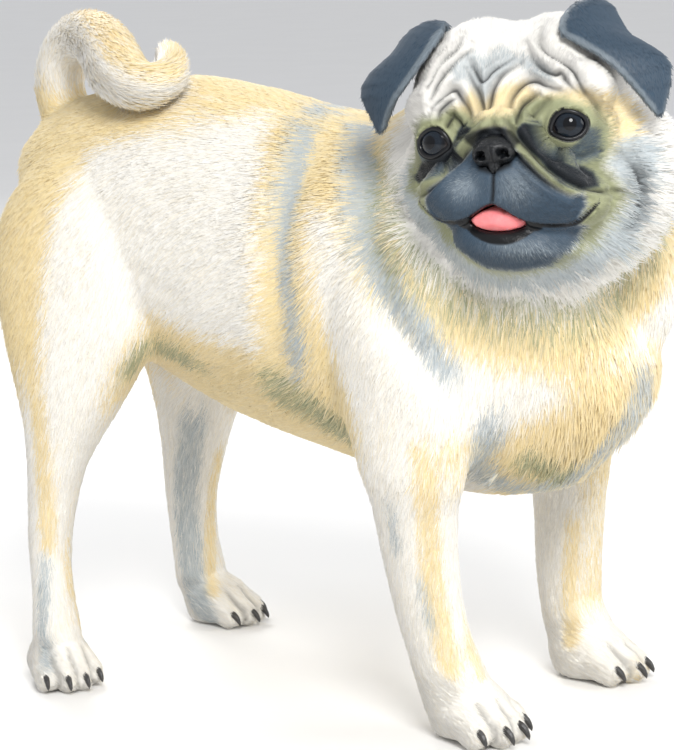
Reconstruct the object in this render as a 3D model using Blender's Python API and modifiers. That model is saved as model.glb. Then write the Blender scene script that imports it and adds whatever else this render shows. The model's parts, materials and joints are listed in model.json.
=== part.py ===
"""A pug standing on four legs, its head turned to its right and its tail curled over the right hip.

Life size, in metres. The dog faces -Y, its right side is -X, and the floor is at Z = 0.
The flesh is blocked out from swept and round masses, fused, carved along the folds and lips,
and then parted into head, jaw, neck, torso, legs and tail with cuts of one gap's width.
"""

import math

import bmesh
import bpy
import numpy as np
from mathutils import Euler, Matrix, Vector

# Driving dimensions of the animal.
WITHERS_HEIGHT = 0.286
RUMP_HEIGHT = 0.307
BREAST_FRONT = -0.172
RUMP_BACK = 0.162
CHEST_HALF_WIDTH = 0.079
CHEST_FLOOR = 0.109
HEAD_CENTRE = Vector((-0.043, -0.141, 0.287))
HEAD_TURN = math.radians(-80)
HEAD_NOD = math.radians(-3)
HEAD_TILT = math.radians(-8)
EYE_RADIUS = 0.0105
EYE_APART = 0.0290
TAIL_RADIUS = 0.0125
GAP = 0.0003

# How finely the flesh is meshed before and after it is thinned.
BODY_VOXEL = 0.0026
HEAD_VOXEL = 0.0015
BODY_TRIANGLES = 3400
HEAD_TRIANGLES = 2900
NOSE_TRIANGLES = 340
FINENESS_PULL = 0.0005

COAT = ("coat", (0.80, 0.62, 0.38), 0.85)
MASK = ("mask", (0.030, 0.034, 0.040), 0.75)
EYE = ("eye", (0.020, 0.012, 0.008), 0.08)
NOSE = ("nose_leather", (0.012, 0.012, 0.013), 0.35)
CLAW = ("claw", (0.025, 0.022, 0.020), 0.40)
TONGUE = ("tongue", (0.72, 0.20, 0.22), 0.45)


# Scene and mesh helpers

def clear_scene():
    """Removes everything that the file opened with."""
    for obj in list(bpy.data.objects):
        bpy.data.objects.remove(obj)


def collection(name, shown=True):
    made = bpy.data.collections.new(name)
    made.hide_render = not shown
    bpy.context.scene.collection.children.link(made)
    return made


def painted(obj, finish):
    """Gives the object its material, made once for each finish."""
    name, colour, roughness = finish
    made = bpy.data.materials.get(name)
    if made is None:
        made = bpy.data.materials.new(name)
        made.use_nodes = True
        shader = made.node_tree.nodes["Principled BSDF"]
        shader.inputs["Base Color"].default_value = (*colour, 1.0)
        shader.inputs["Roughness"].default_value = roughness
        shader.inputs["Metallic"].default_value = 0.0
    obj.data.materials.clear()
    obj.data.materials.append(made)
    return obj


def places_of(obj):
    """The object's vertices as an array of rows."""
    co = np.empty(len(obj.data.vertices) * 3)
    obj.data.vertices.foreach_get("co", co)
    return co.reshape(-1, 3)


def move_to(obj, places):
    obj.data.vertices.foreach_set("co", np.asarray(places, float).ravel())
    obj.data.update()
    return obj


def normals_of(obj):
    normals = np.empty(len(obj.data.vertices) * 3)
    obj.data.vertex_normals.foreach_get("vector", normals)
    return normals.reshape(-1, 3)


def settled(obj):
    """Replaces the object's mesh by what its modifiers make of it."""
    graph = bpy.context.evaluated_depsgraph_get()
    mesh = bpy.data.meshes.new_from_object(obj.evaluated_get(graph))
    obj.modifiers.clear()
    obj.data = mesh
    return obj


def copy_of(obj, name):
    twin = obj.copy()
    twin.data = obj.data.copy()
    twin.name = name
    bpy.context.scene.collection.objects.link(twin)
    return twin


def grown(obj, by):
    """A copy of the object with its surface moved out."""
    twin = copy_of(obj, obj.name + "_grown")
    return move_to(twin, places_of(twin) + by * normals_of(twin))


def boolean(obj, operation, other, solver="MANIFOLD"):
    """Joins, cuts or crosses the object with another, which is then removed."""
    modifier = obj.modifiers.new("boolean", "BOOLEAN")
    modifier.operation = operation
    modifier.solver = solver
    modifier.object = other
    settled(obj)
    bpy.data.objects.remove(other)
    return obj


def largest_body(obj):
    """Keeps the largest closed surface of the mesh and drops any scrap."""
    bodies = loose_bodies(obj)
    mesh = bmesh.new()
    mesh.from_mesh(obj.data)
    mesh.verts.ensure_lookup_table()
    kept = max(bodies, key=len)
    dropped = [v for v in mesh.verts if v.index not in kept]
    bmesh.ops.delete(mesh, geom=dropped, context="VERTS")
    mesh.to_mesh(obj.data)
    mesh.free()
    return obj


def loose_bodies(obj):
    """The sets of vertex numbers of the mesh's separate surfaces."""
    root = list(range(len(obj.data.vertices)))

    def top(i):
        while root[i] != i:
            root[i] = root[root[i]]
            i = root[i]
        return i

    for edge in obj.data.edges:
        a, b = map(top, edge.vertices)
        root[a] = b
    found = {}
    for i in range(len(root)):
        found.setdefault(top(i), set()).add(i)
    return list(found.values())


def smooth_line(places, count):
    """A Catmull-Rom curve through rows of numbers, sampled evenly by chord."""
    rows = np.asarray(places, float)
    ends = np.vstack([2 * rows[0] - rows[1], rows, 2 * rows[-1] - rows[-2]])
    steps = np.linalg.norm(np.diff(rows[:, :3], axis=0), axis=1)
    along = np.concatenate([[0], np.cumsum(steps)])
    wanted = np.linspace(0, along[-1], count)
    span = np.clip(np.searchsorted(along, wanted, side="right") - 1, 0, len(rows) - 2)
    t = ((wanted - along[span]) / steps[span])[:, None]
    a, b, c, d = (ends[span + i] for i in range(4))
    return 0.5 * (2 * b + (c - a) * t + (2 * a - 5 * b + 4 * c - d) * t**2
                  + (3 * b - a - 3 * c + d) * t**3)


def swept(name, stations, side=(1, 0, 0), sides=32, rings=40, blunt=0.10):
    """A UV sphere whose rings are laid along a curve.

    A station is (x, y, z, half width along side, half depth across it).
    blunt is the share of the length over which each end closes.
    """
    bpy.ops.mesh.primitive_uv_sphere_add(segments=sides, ring_count=rings, radius=1)
    obj = bpy.context.object
    obj.name = name
    co = places_of(obj)
    share = np.arccos(np.clip(-co[:, 2], -1, 1)) / math.pi
    turn = np.arctan2(co[:, 1], co[:, 0])
    table = smooth_line(stations, 4 * rings)
    tangent = np.gradient(table[:, :3], axis=0)
    tangent /= np.linalg.norm(tangent, axis=1)[:, None]
    # The side direction is carried along the curve without twisting.
    wide = np.empty_like(tangent)
    carried = np.asarray(side, float)
    for i, way in enumerate(tangent):
        carried = carried - (carried @ way) * way
        carried /= np.linalg.norm(carried)
        wide[i] = carried
    across = np.cross(tangent, wide)
    row = np.clip(np.round(share * (len(table) - 1)).astype(int), 0, len(table) - 1)
    from_end = np.clip(np.minimum(share, 1 - share) / blunt, 0, 1)
    cap = np.sqrt(1 - (1 - from_end) ** 2)
    out = (np.cos(turn) * cap * table[row, 3])[:, None] * wide[row]
    out += (np.sin(turn) * cap * table[row, 4])[:, None] * across[row]
    move_to(obj, table[row, :3] + out)
    return facing_out(obj)


def ball(name, centre, radii, turn=(0, 0, 0), sides=24):
    """An ellipsoid. turn is in degrees about X, Y and Z."""
    bpy.ops.mesh.primitive_uv_sphere_add(segments=sides, ring_count=sides // 2, radius=1)
    obj = bpy.context.object
    obj.name = name
    angles = Euler([math.radians(a) for a in turn])
    placed = Matrix.Translation(centre) @ angles.to_matrix().to_4x4()
    obj.data.transform(placed @ Matrix.Diagonal((*radii, 1)))
    return obj


def box(name, low, high):
    bpy.ops.mesh.primitive_cube_add(size=1)
    obj = bpy.context.object
    obj.name = name
    low, high = Vector(low), Vector(high)
    size = high - low
    obj.data.transform(Matrix.Translation((low + high) / 2) @ Matrix.Diagonal((*size, 1)))
    return obj


def prism(name, outline, low_y, high_y):
    """A closed outline in X and Z, drawn through along Y."""
    curve = bpy.data.curves.new(name, "CURVE")
    curve.dimensions = "2D"
    curve.fill_mode = "BOTH"
    curve.extrude = (high_y - low_y) / 2
    spline = curve.splines.new("POLY")
    spline.points.add(len(outline) - 1)
    for point, (x, z) in zip(spline.points, outline):
        point.co = (x, z, 0, 1)
    spline.use_cyclic_u = True
    drawn = bpy.data.objects.new(name + "_curve", curve)
    bpy.context.scene.collection.objects.link(drawn)
    graph = bpy.context.evaluated_depsgraph_get()
    mesh = bpy.data.meshes.new_from_object(drawn.evaluated_get(graph))
    bpy.data.objects.remove(drawn)
    upright = Matrix.Rotation(math.pi / 2, 4, "X")
    mesh.transform(Matrix.Translation((0, (low_y + high_y) / 2, 0)) @ upright)
    made = bpy.data.objects.new(name, mesh)
    bpy.context.scene.collection.objects.link(made)
    return facing_out(made, weld=1e-6)


def facing_out(obj, weld=1e-7):
    """Merges double points and turns the faces outwards."""
    mesh = bmesh.new()
    mesh.from_mesh(obj.data)
    bmesh.ops.remove_doubles(mesh, verts=mesh.verts, dist=weld)
    bmesh.ops.recalc_face_normals(mesh, faces=mesh.faces)
    mesh.to_mesh(obj.data)
    mesh.free()
    return obj


def fused(name, pieces, voxel, smoothing):
    """One skin over all the pieces, with their joins smoothed."""
    bpy.ops.object.select_all(action="DESELECT")
    for piece in pieces:
        piece.select_set(True)
    bpy.context.view_layer.objects.active = pieces[0]
    bpy.ops.object.join()
    obj = pieces[0]
    obj.name = name
    remesh = obj.modifiers.new("remesh", "REMESH")
    remesh.mode = "VOXEL"
    remesh.voxel_size = voxel
    smooth = obj.modifiers.new("smooth", "SMOOTH")
    smooth.factor = 0.5
    smooth.iterations = smoothing
    return settled(obj)


def thinned(obj, triangles, kept_fine=None):
    """Fewer faces. kept_fine says, from 0 to 1 for each vertex, how much of its detail stays."""
    modifier = obj.modifiers.new("thin", "DECIMATE")
    modifier.ratio = triangles / sum(len(p.vertices) - 2 for p in obj.data.polygons)
    if kept_fine is not None:
        group = obj.vertex_groups.new(name="coarse")
        for i, fine in enumerate(kept_fine):
            group.add([i], 1 - 0.9 * float(fine), "REPLACE")
        modifier.vertex_group = group.name
        modifier.vertex_group_factor = FINENESS_PULL
    settled(obj)
    obj.vertex_groups.clear()
    return obj


def mirrored(places):
    """The same places on the other side of the body."""
    return [(-x, *rest) for x, *rest in places]


# Sculpting: fields of height over the surface, each from a line or a spot

def distance_to_line(places, line):
    """The least distance of each place from a line of straight runs."""
    nearest = np.full(len(places), np.inf)
    for a, b in zip(line[:-1], line[1:]):
        run = b - a
        t = np.clip((places - a) @ run / max(run @ run, 1e-18), 0, 1)
        apart = np.linalg.norm(places - a - t[:, None] * run, axis=1)
        nearest = np.minimum(nearest, apart)
    return nearest


def fold(places, line, width, depth, bank=0.5):
    """A groove along a line, with a rounded bank on each side of it."""
    apart = distance_to_line(places, smooth_line(line, 24))
    groove = -depth * np.exp(-((apart / width) ** 2))
    banks = bank * depth * np.exp(-(((apart - 2.2 * width) / (1.1 * width)) ** 2))
    return groove + banks


def sculpted(obj, heights):
    """Moves the surface out by a height at each vertex."""
    return move_to(obj, places_of(obj) + heights[:, None] * normals_of(obj))


# The head, made looking along -Y with its centre between the ears at the origin, then turned

NOSE_PLACE = Vector((0, -0.0600, -0.0062))
GAZE = math.radians(17)
GAZE_RISE = 0.06
EYE_PLACE = Vector((EYE_APART, -0.0405, 0.0006))


def head_to_body():
    """Carries the head from its own frame to the neck."""
    turn = Matrix.Rotation(HEAD_TURN, 4, "Z")
    nod = Matrix.Rotation(HEAD_NOD, 4, "X")
    tilt = Matrix.Rotation(HEAD_TILT, 4, "Y")
    return Matrix.Translation(HEAD_CENTRE) @ turn @ nod @ tilt


# How far out and how high the crown is: flat between the ears, and a little higher on the right.
CROWN = {-1: (0.0185, 0.0452), 1: (0.0160, 0.0430)}


def head_masses():
    """Skull, cheeks, brows, muzzle, chin and throat."""
    masses = [
        ball("skull", (0, 0.004, 0.0090), (0.0300, 0.0500, 0.0410)),
        ball("face", (0, -0.024, -0.008), (0.0480, 0.0280, 0.0420)),
        ball("bridge", (0, -0.044, -0.003), (0.0230, 0.0165, 0.0150)),
        ball("muzzle", (0, -0.043, -0.0230), (0.0380, 0.0205, 0.0190)),
        ball("cushion", (0, -0.047, -0.0180), (0.0190, 0.0180, 0.0130)),
        ball("chin", (0, -0.040, -0.0470), (0.0290, 0.0195, 0.0135)),
        ball("throat", (0, 0.000, -0.0430), (0.0530, 0.0440, 0.0320)),
    ]
    for side in (-1, 1):
        eye = (side * EYE_PLACE.x, EYE_PLACE.y, EYE_PLACE.z)
        masses += [
            ball("crown", (side * CROWN[side][0], 0.004, 0.0085), (0.0360, 0.0500, CROWN[side][1])),
            ball("cheek", (side * 0.0330, 0.005, -0.0200), (0.0310, 0.0390, 0.0370)),
            ball("flew", (side * 0.0175, -0.0480, -0.0250), (0.0190, 0.0175, 0.0140)),
            ball("lip", (side * 0.0295, -0.0400, -0.0290), (0.0130, 0.0160, 0.0100)),
            ball("brow", (side * 0.0240, -0.0300, 0.0150), (0.0240, 0.0170, 0.0150)),
            ball("lids", eye, (EYE_RADIUS + 0.0017,) * 3),
        ]
    return masses


def face_lines():
    """The folds of the left half of the face, as (line, width, depth)."""
    # The roll of skin over the nose lies between these two lines and runs down both cheeks.
    roll_inner = [(0, -0.060, 0.0035), (0.010, -0.060, 0.0010), (0.020, -0.057, -0.0100),
                  (0.031, -0.051, -0.0200), (0.039, -0.045, -0.0250)]
    roll_outer = [(0.0060, -0.056, 0.0130), (0.013, -0.055, 0.0060), (0.020, -0.053, -0.0050),
                  (0.030, -0.049, -0.0140), (0.045, -0.040, -0.0210), (0.054, -0.030, -0.0230)]
    frown = [(0, -0.056, 0.0110), (0.0030, -0.053, 0.0200), (0.0120, -0.047, 0.0320)]
    brow_fold = [(0.0085, -0.055, 0.0110), (0.0110, -0.052, 0.0190), (0.0180, -0.048, 0.0235),
                 (0.0300, -0.044, 0.0225)]
    temple = [(0.0180, -0.035, 0.0430), (0.0270, -0.032, 0.0330), (0.0360, -0.028, 0.0200),
              (0.0420, -0.024, 0.0060)]
    cheek_fold = [(0.0550, -0.022, -0.0120), (0.0590, -0.016, -0.0250),
                  (0.0540, -0.020, -0.0400)]
    return [
        (roll_inner, 0.0020, 0.0030),
        (roll_outer, 0.0024, 0.0036),
        (frown, 0.0022, 0.0026),
        (brow_fold, 0.0026, 0.0014),
        (temple, 0.0028, 0.0013),
        (cheek_fold, 0.0030, 0.0018),
    ]


def face_heights(places):
    """How far the face's folds rise and sink, alike on both sides."""
    folded = places.copy()
    folded[:, 0] = np.abs(folded[:, 0])
    heights = np.zeros(len(places))
    for line, width, depth in face_lines():
        heights += fold(folded, line, width, depth, bank=0.3)
    philtrum = [(0, -0.072, -0.0180), (0, -0.070, -0.0280)]
    heights += fold(folded, philtrum, 0.0014, 0.0026, bank=0.25)
    return heights


def upper_lip(x):
    """Height of the upper lip's edge at a distance from the middle of the mouth."""
    x = abs(x)
    flew = -0.0378 + 0.0088 * math.exp(-((x / 0.0105) ** 1.7))
    corner = 0.0085 * max(0.0, (x - 0.026) / 0.0135) ** 2
    return flew + corner


GAPE_HALF_WIDTH = 0.0155


def lower_lip(x):
    """Height of the lower lip's edge, which meets the upper one away from the tongue."""
    parted_lips = -0.0410 + 0.0045 * (abs(x) / GAPE_HALF_WIDTH) ** 2
    return min(upper_lip(x) - GAP, parted_lips)


MOUTH_HALF_WIDTH = 0.0395
MOUTH_BACK = -0.0190


def jaw_outline(lip, spread):
    """The mouth's edge from corner to corner, then round under the chin."""
    xs = np.linspace(-MOUTH_HALF_WIDTH, MOUTH_HALF_WIDTH, 25)
    top = [(x * (1 + spread / MOUTH_HALF_WIDTH), lip(x) + spread) for x in xs]
    under = [(0.0370, -0.0480), (0.0300, -0.0640), (0.0160, -0.0860),
             (-0.0160, -0.0860), (-0.0300, -0.0640), (-0.0370, -0.0480)]
    return top + [(x * (1 + spread / MOUTH_HALF_WIDTH), z) for x, z in under]


def nose_leather():
    """The nose pad with its wings, nostrils and the tip of the philtrum."""
    x, y, z = NOSE_PLACE
    pieces = [
        ball("pad", (0, y, z + 0.0005), (0.0088, 0.0070, 0.0066)),
        ball("tip", (0, y + 0.0008, z - 0.0070), (0.0034, 0.0048, 0.0050)),
    ]
    for side in (-1, 1):
        wing = (side * 0.0052, y - 0.0005, z - 0.0008)
        pieces.append(ball("wing", wing, (0.0046, 0.0060, 0.0052)))
    nose = fused("nose", pieces, 0.0008, 4)
    crease = [(0, y - 0.009, z + 0.002), (0, y - 0.008, z - 0.014)]
    sculpted(nose, fold(places_of(nose), crease, 0.0011, 0.0009, bank=0.2))
    thinned(nose, NOSE_TRIANGLES)
    for side in (-1, 1):
        hole = (side * 0.0042, y - 0.0075, z - 0.0006)
        boolean(nose, "DIFFERENCE", ball("nostril", hole, (0.0021, 0.0045, 0.0018), sides=8))
        slit = (side * 0.0068, y - 0.0058, z - 0.0020)
        turn = (0, side * 32, side * 25)
        boolean(nose, "DIFFERENCE", ball("slit", slit, (0.0030, 0.0036, 0.0008), turn, sides=8))
    return largest_body(nose)


def eyeball(side):
    x, y, z = EYE_PLACE
    name = "eye_left" if side > 0 else "eye_right"
    return ball(name, (side * x, y, z), (EYE_RADIUS,) * 3, sides=16)


def lid_opening(side):
    """The almond between the lids, drawn out along the gaze."""
    x, y, z = EYE_PLACE
    out = Vector((side * math.sin(GAZE), -math.cos(GAZE), GAZE_RISE)).normalized()
    centre = Vector((side * x, y, z)) + out * EYE_RADIUS * 1.04
    turn = (0, side * 6, side * math.degrees(GAZE))
    return ball("opening", centre, (0.0084, 0.0058, 0.0072), turn, sides=16)


def tongue_piece():
    """The tongue, lying on the lower lip and filling the mouth from side to side."""
    stations = [(0, -0.0225, -0.0355, 0.0110, 0.0060), (0, -0.0380, -0.0350, 0.0135, 0.0064),
                (0, -0.0520, -0.0355, 0.0135, 0.0064), (0, -0.0600, -0.0370, 0.0115, 0.0052)]
    tongue = swept("tongue", stations, sides=12, rings=10, blunt=0.22)
    xs = np.linspace(-0.0165, 0.0165, 13)
    low = [(x, lower_lip(x) + GAP) for x in xs]
    high = [(x, upper_lip(x) - GAP) for x in xs[::-1]]
    return boolean(tongue, "INTERSECT", prism("mouth", low + high, -0.080, -0.0195))


MOUTH_SWING = 0.0050
MOUTH_LEVEL = -0.0370
SWING_HALF_HEIGHT = 0.0140
SWING_HALF_WIDTH = 0.0300


def soft_step(values, low, high):
    t = np.clip((values - low) / (high - low), 0, 1)
    return t * t * (3 - 2 * t)


def hung_level(places):
    """Lips and chin hang level under the tilted head, so they are swung back towards upright."""
    x, z = places[:, 0], places[:, 2]
    held = soft_step(z, -0.011, -0.028) * soft_step(z, -0.066, -0.046)
    held *= soft_step(np.abs(x), 0.058, 0.044)
    around_mouth = np.exp(-(((z - MOUTH_LEVEL) / SWING_HALF_HEIGHT) ** 2) - (x / SWING_HALF_WIDTH) ** 2)
    hung = places.copy()
    hung[:, 0] -= MOUTH_SWING * around_mouth
    hung[:, 2] += math.tan(HEAD_TILT) * x * held
    return hung


def make_head():
    """Head, jaw, tongue, nose and eyes, in the head's own frame."""
    flesh = fused("head", head_masses(), HEAD_VOXEL, 4)
    sculpted(flesh, face_heights(places_of(flesh)))
    co = places_of(flesh)
    fine = np.clip((-co[:, 1] - 0.006) / 0.030, 0, 1)
    thinned(flesh, HEAD_TRIANGLES, fine)

    nose = nose_leather()
    boolean(flesh, "DIFFERENCE", grown(nose, GAP))
    eyes = [eyeball(side) for side in (-1, 1)]
    for side, eye in zip((-1, 1), eyes):
        boolean(flesh, "DIFFERENCE", grown(eye, GAP))
        boolean(flesh, "DIFFERENCE", lid_opening(side))

    jaw = copy_of(flesh, "jaw")
    boolean(jaw, "INTERSECT", prism("chin", jaw_outline(lower_lip, 0.0), -0.10, MOUTH_BACK - GAP))
    boolean(flesh, "DIFFERENCE", prism("gape", jaw_outline(upper_lip, GAP), -0.10, MOUTH_BACK))
    tongue = tongue_piece()
    for obj in (flesh, jaw, tongue):
        largest_body(obj)
    for obj in (flesh, jaw, tongue, nose):
        move_to(obj, hung_level(places_of(obj)))
    return [flesh, jaw, tongue, nose, *eyes]


# The ears: folded flaps of leather

EAR_THICKNESS = 0.0026

# From the skull up to the fold, over it and down to the tip: the flap's front edge and its back
# edge, both drawn for a left ear. The right ear is held higher and stands further out.
EAR_EDGES = {
    1: ([(0.0320, -0.0040, 0.0390), (0.0305, -0.0065, 0.0530), (0.0262, -0.0190, 0.0492),
         (0.0272, -0.0322, 0.0410), (0.0373, -0.0335, 0.0338), (0.0492, -0.0330, 0.0232),
         (0.0618, -0.0270, 0.0035)],
        [(0.0440, 0.0130, 0.0270), (0.0395, 0.0120, 0.0520), (0.0435, 0.0050, 0.0470),
         (0.0510, -0.0020, 0.0352), (0.0612, -0.0090, 0.0290), (0.0702, -0.0150, 0.0200),
         (0.0667, -0.0220, 0.0028)]),
    -1: ([(0.0300, -0.0060, 0.0400), (0.0315, -0.0080, 0.0535), (0.0300, -0.0200, 0.0490),
          (0.0345, -0.0300, 0.0400), (0.0428, -0.0335, 0.0302), (0.0512, -0.0330, 0.0215),
          (0.0586, -0.0270, 0.0120)],
         [(0.0420, 0.0140, 0.0300), (0.0500, 0.0130, 0.0500), (0.0574, 0.0060, 0.0480),
          (0.0625, -0.0020, 0.0400), (0.0705, -0.0090, 0.0345), (0.0732, -0.0150, 0.0268),
          (0.0657, -0.0220, 0.0128)]),
}
EAR_FULLNESS = np.array((0.0026, -0.0018, 0.0042))
EAR_TIP_DROP = np.array((0.0006, -0.0016, -0.0036))


def ear_flap(side, skull):
    """A thin flap that rises from the skull, folds over and hangs forward to a rounded tip."""
    bpy.ops.mesh.primitive_grid_add(x_subdivisions=7, y_subdivisions=15, size=2)
    ear = bpy.context.object
    ear.name = "ear_left" if side > 0 else "ear_right"
    co = places_of(ear)
    across, along = (co[:, 0] + 1) / 2, (co[:, 1] + 1) / 2
    front, back = (smooth_line(edge, 100) for edge in EAR_EDGES[side])
    row = np.round(along * 99).astype(int)
    places = front[row] * (1 - across)[:, None] + back[row] * across[:, None]
    # The middle of the flap is fuller than its edges, and its end is rounded.
    fullness = 4 * across * (1 - across) * np.sin(math.pi * np.clip(along, 0, 1))
    places += fullness[:, None] * EAR_FULLNESS
    tip = 4 * across * (1 - across) * np.clip((along - 0.7) / 0.3, 0, 1)
    places += tip[:, None] * EAR_TIP_DROP
    places[:, 0] *= side
    move_to(ear, places)
    wall = ear.modifiers.new("wall", "SOLIDIFY")
    wall.thickness = EAR_THICKNESS
    wall.offset = 0
    settled(ear)
    facing_out(ear)
    boolean(ear, "DIFFERENCE", grown(skull, GAP))
    return largest_body(ear)


# Trunk, neck, limbs and tail

def trunk():
    """Ribs, loin and rump as one mass, longest from breast to rump."""
    profile = [
        # place along the back, top, bottom, half width
        (BREAST_FRONT, 0.2285, 0.174, 0.034),
        (BREAST_FRONT + 0.017, 0.252, 0.140, 0.054),
        (-0.125, 0.272, 0.114, 0.069),
        (-0.088, 0.284, CHEST_FLOOR, 0.077),
        (-0.045, WITHERS_HEIGHT, CHEST_FLOOR + 0.010, CHEST_HALF_WIDTH),
        (0.005, 0.293, 0.1310, 0.076),
        (0.045, 0.3025, 0.1460, 0.070),
        (0.078, RUMP_HEIGHT, 0.1625, 0.066),
        (0.112, 0.302, 0.177, 0.060),
        (0.140, 0.290, 0.189, 0.049),
        (RUMP_BACK - 0.008, 0.268, 0.200, 0.034),
        (RUMP_BACK, 0.248, 0.214, 0.020),
    ]
    stations = [(0, y, (top + low) / 2, wide, (top - low) / 2) for y, top, low, wide in profile]
    return swept("trunk", stations, sides=48, rings=60, blunt=0.05)


def neck_mass():
    stations = [(0, -0.060, 0.234, 0.058, 0.054), (0.000, -0.096, 0.250, 0.062, 0.058),
                (-0.008, -0.126, 0.266, 0.060, 0.056), (-0.018, -0.142, 0.282, 0.050, 0.048)]
    return swept("neck", stations, sides=36, rings=30)


def breast_masses():
    """The deep brisket, the breast between the forelegs and the loose skin in front of it."""
    return [
        ball("breast", (0.002, -0.121, 0.191), (0.062, 0.051, 0.060)),
        ball("left_breast", (0.022, -0.129, 0.214), (0.050, 0.0530, 0.056)),
        ball("brisket", (0, -0.100, 0.1350), (0.044, 0.056, 0.026)),
        ball("withers", (0, -0.060, 0.258), (0.048, 0.050, 0.029)),
    ]


PAW_HALF_WIDTH = 0.0215
TOES = 4
TOE_HALF_WIDTH = 0.0062
INNER_TOE_REACH = 0.0190
OUTER_TOE_REACH = 0.0115
TOE_FAN = 9


def toe_places(foot, turn, size):
    """For each toe of a foot: a function from (forward, height) to a place, and its spread."""
    way = Matrix.Rotation(math.radians(-turn), 3, "Z")
    places = []
    for i in range(TOES):
        share = (i - (TOES - 1) / 2) / ((TOES - 1) / 2)
        reach = size * (INNER_TOE_REACH if abs(share) < 0.5 else OUTER_TOE_REACH)
        side = size * share * (PAW_HALF_WIDTH - TOE_HALF_WIDTH)
        fan = math.radians(share * TOE_FAN)

        def at(forward, height, side=side, reach=reach, fan=fan):
            forward *= size
            spot = way @ Vector((side + math.sin(fan) * forward, -reach - forward, 0)) + Vector(foot)
            return (spot.x, spot.y, size * height)

        places.append((at, -turn + share * TOE_FAN))
    return places


def paw(foot, turn, size):
    """The palm and four arched toes of a foot that points along its turn, in degrees right."""
    way = Matrix.Rotation(math.radians(-turn), 3, "Z")
    x, y, _ = way @ Vector((0, 0.004 * size, 0)) + Vector(foot)
    masses = [
        ("palm", (x, y, 0.0145 * size), (0.0190, 0.0210, 0.0150), (0, 0, -turn)),
        ("pad", (x, y, 0.0060 * size), (0.0170, 0.0195, 0.0068), (0, 0, -turn)),
    ]
    for at, heading in toe_places(foot, turn, size):
        masses.append(("toe", at(-0.006, 0.0105), (0.0064, 0.0135, 0.0082), (10, 0, heading)))
        masses.append(("toe_pad", at(0.001, 0.0056), (0.0061, 0.0070, 0.0060), (0, 0, heading)))
    return [ball(name, place, [size * r for r in radii], angles) for name, place, radii, angles in masses]


def claws(name, foot, turn, size):
    """One short, blunt, curved claw to each toe, its root sunk in the toe."""
    shape = [(0.0015, 0.0100, 0.0022, 0.0026), (0.0060, 0.0090, 0.0018, 0.0022),
             (0.0088, 0.0060, 0.0013, 0.0015), (0.0100, 0.0030, 0.0006, 0.0006)]
    made = []
    for number, (at, heading) in enumerate(toe_places(foot, turn, size), 1):
        stations = [(*at(forward, height), size * wide, size * deep)
                    for forward, height, wide, deep in shape]
        side = Matrix.Rotation(math.radians(heading), 3, "Z") @ Vector((1, 0, 0))
        made.append(swept(f"{name}_claw_{number}", stations, side, sides=6, rings=6, blunt=0.15))
    return made


# Each leg is a line of stations from the trunk down to the pastern, and a foot. The hind feet are
# smaller than the fore. A station is (x, y, z, half width, half depth).
FORE_RIGHT = {
    "line": [(-0.046, -0.068, 0.246, 0.018, 0.034), (-0.060, -0.082, 0.205, 0.027, 0.042),
             (-0.0665, -0.090, 0.139, 0.0225, 0.0285), (-0.065, -0.090, 0.116, 0.0190, 0.0215),
             (-0.062, -0.090, 0.094, 0.0175, 0.0185), (-0.058, -0.092, 0.067, 0.0160, 0.0165),
             (-0.054, -0.097, 0.042, 0.0158, 0.0158), (-0.051, -0.103, 0.022, 0.0168, 0.0168),
             (-0.050, -0.107, 0.010, 0.0170, 0.0170)],
    "foot": (-0.050, -0.112, 0), "turn": 12, "size": 1.0,
}
FORE_LEFT = {
    "line": [(0.046, -0.070, 0.246, 0.018, 0.034), (0.060, -0.086, 0.205, 0.027, 0.042),
             (0.065, -0.104, 0.135, 0.0210, 0.0250), (0.067, -0.1050, 0.093, 0.0178, 0.0188),
             (0.067, -0.1045, 0.059, 0.0168, 0.0168), (0.067, -0.106, 0.038, 0.0158, 0.0158),
             (0.068, -0.111, 0.020, 0.0168, 0.0168), (0.068, -0.116, 0.010, 0.0170, 0.0170)],
    "foot": (0.067, -0.120, 0), "turn": -6, "size": 1.0,
}
HIND_RIGHT = {
    "line": [(-0.030, 0.092, 0.262, 0.024, 0.036), (-0.046, 0.106, 0.225, 0.030, 0.051),
             (-0.053, 0.109, 0.188, 0.030, 0.0445), (-0.059, 0.113, 0.150, 0.0245, 0.0285),
             (-0.063, 0.118, 0.120, 0.0175, 0.0165), (-0.064, 0.1225, 0.094, 0.0135, 0.0125),
             (-0.065, 0.1245, 0.068, 0.0116, 0.0106), (-0.067, 0.1220, 0.048, 0.0116, 0.0104),
             (-0.068, 0.120, 0.027, 0.0130, 0.0120), (-0.069, 0.118, 0.012, 0.0140, 0.0130)],
    "foot": (-0.070, 0.116, 0), "turn": 32, "size": 0.87, "hock": (-0.065, 0.1285, 0.076),
}
HIND_LEFT = {
    "line": [(0.030, 0.092, 0.262, 0.024, 0.036), (0.046, 0.106, 0.225, 0.030, 0.052),
             (0.053, 0.111, 0.188, 0.030, 0.047), (0.060, 0.116, 0.140, 0.0235, 0.0295),
             (0.063, 0.121, 0.106, 0.0176, 0.0200), (0.064, 0.1245, 0.080, 0.0143, 0.0158),
             (0.065, 0.1250, 0.056, 0.0132, 0.0134), (0.066, 0.1220, 0.030, 0.0142, 0.0134),
             (0.066, 0.118, 0.012, 0.0148, 0.0140)],
    "foot": (0.067, 0.108, 0), "turn": -4, "size": 0.90, "hock": (0.065, 0.1290, 0.076),
}
LEGS = {"fore_right": FORE_RIGHT, "fore_left": FORE_LEFT,
        "hind_right": HIND_RIGHT, "hind_left": HIND_LEFT}
HOCK_RADII = (0.0078, 0.0086, 0.0135)


def leg_masses(leg):
    masses = [swept("leg", leg["line"], rings=40, blunt=0.05)]
    masses += paw(leg["foot"], leg["turn"], leg["size"])
    if "hock" in leg:
        masses.append(ball("hock", leg["hock"], HOCK_RADII))
    return masses


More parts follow.
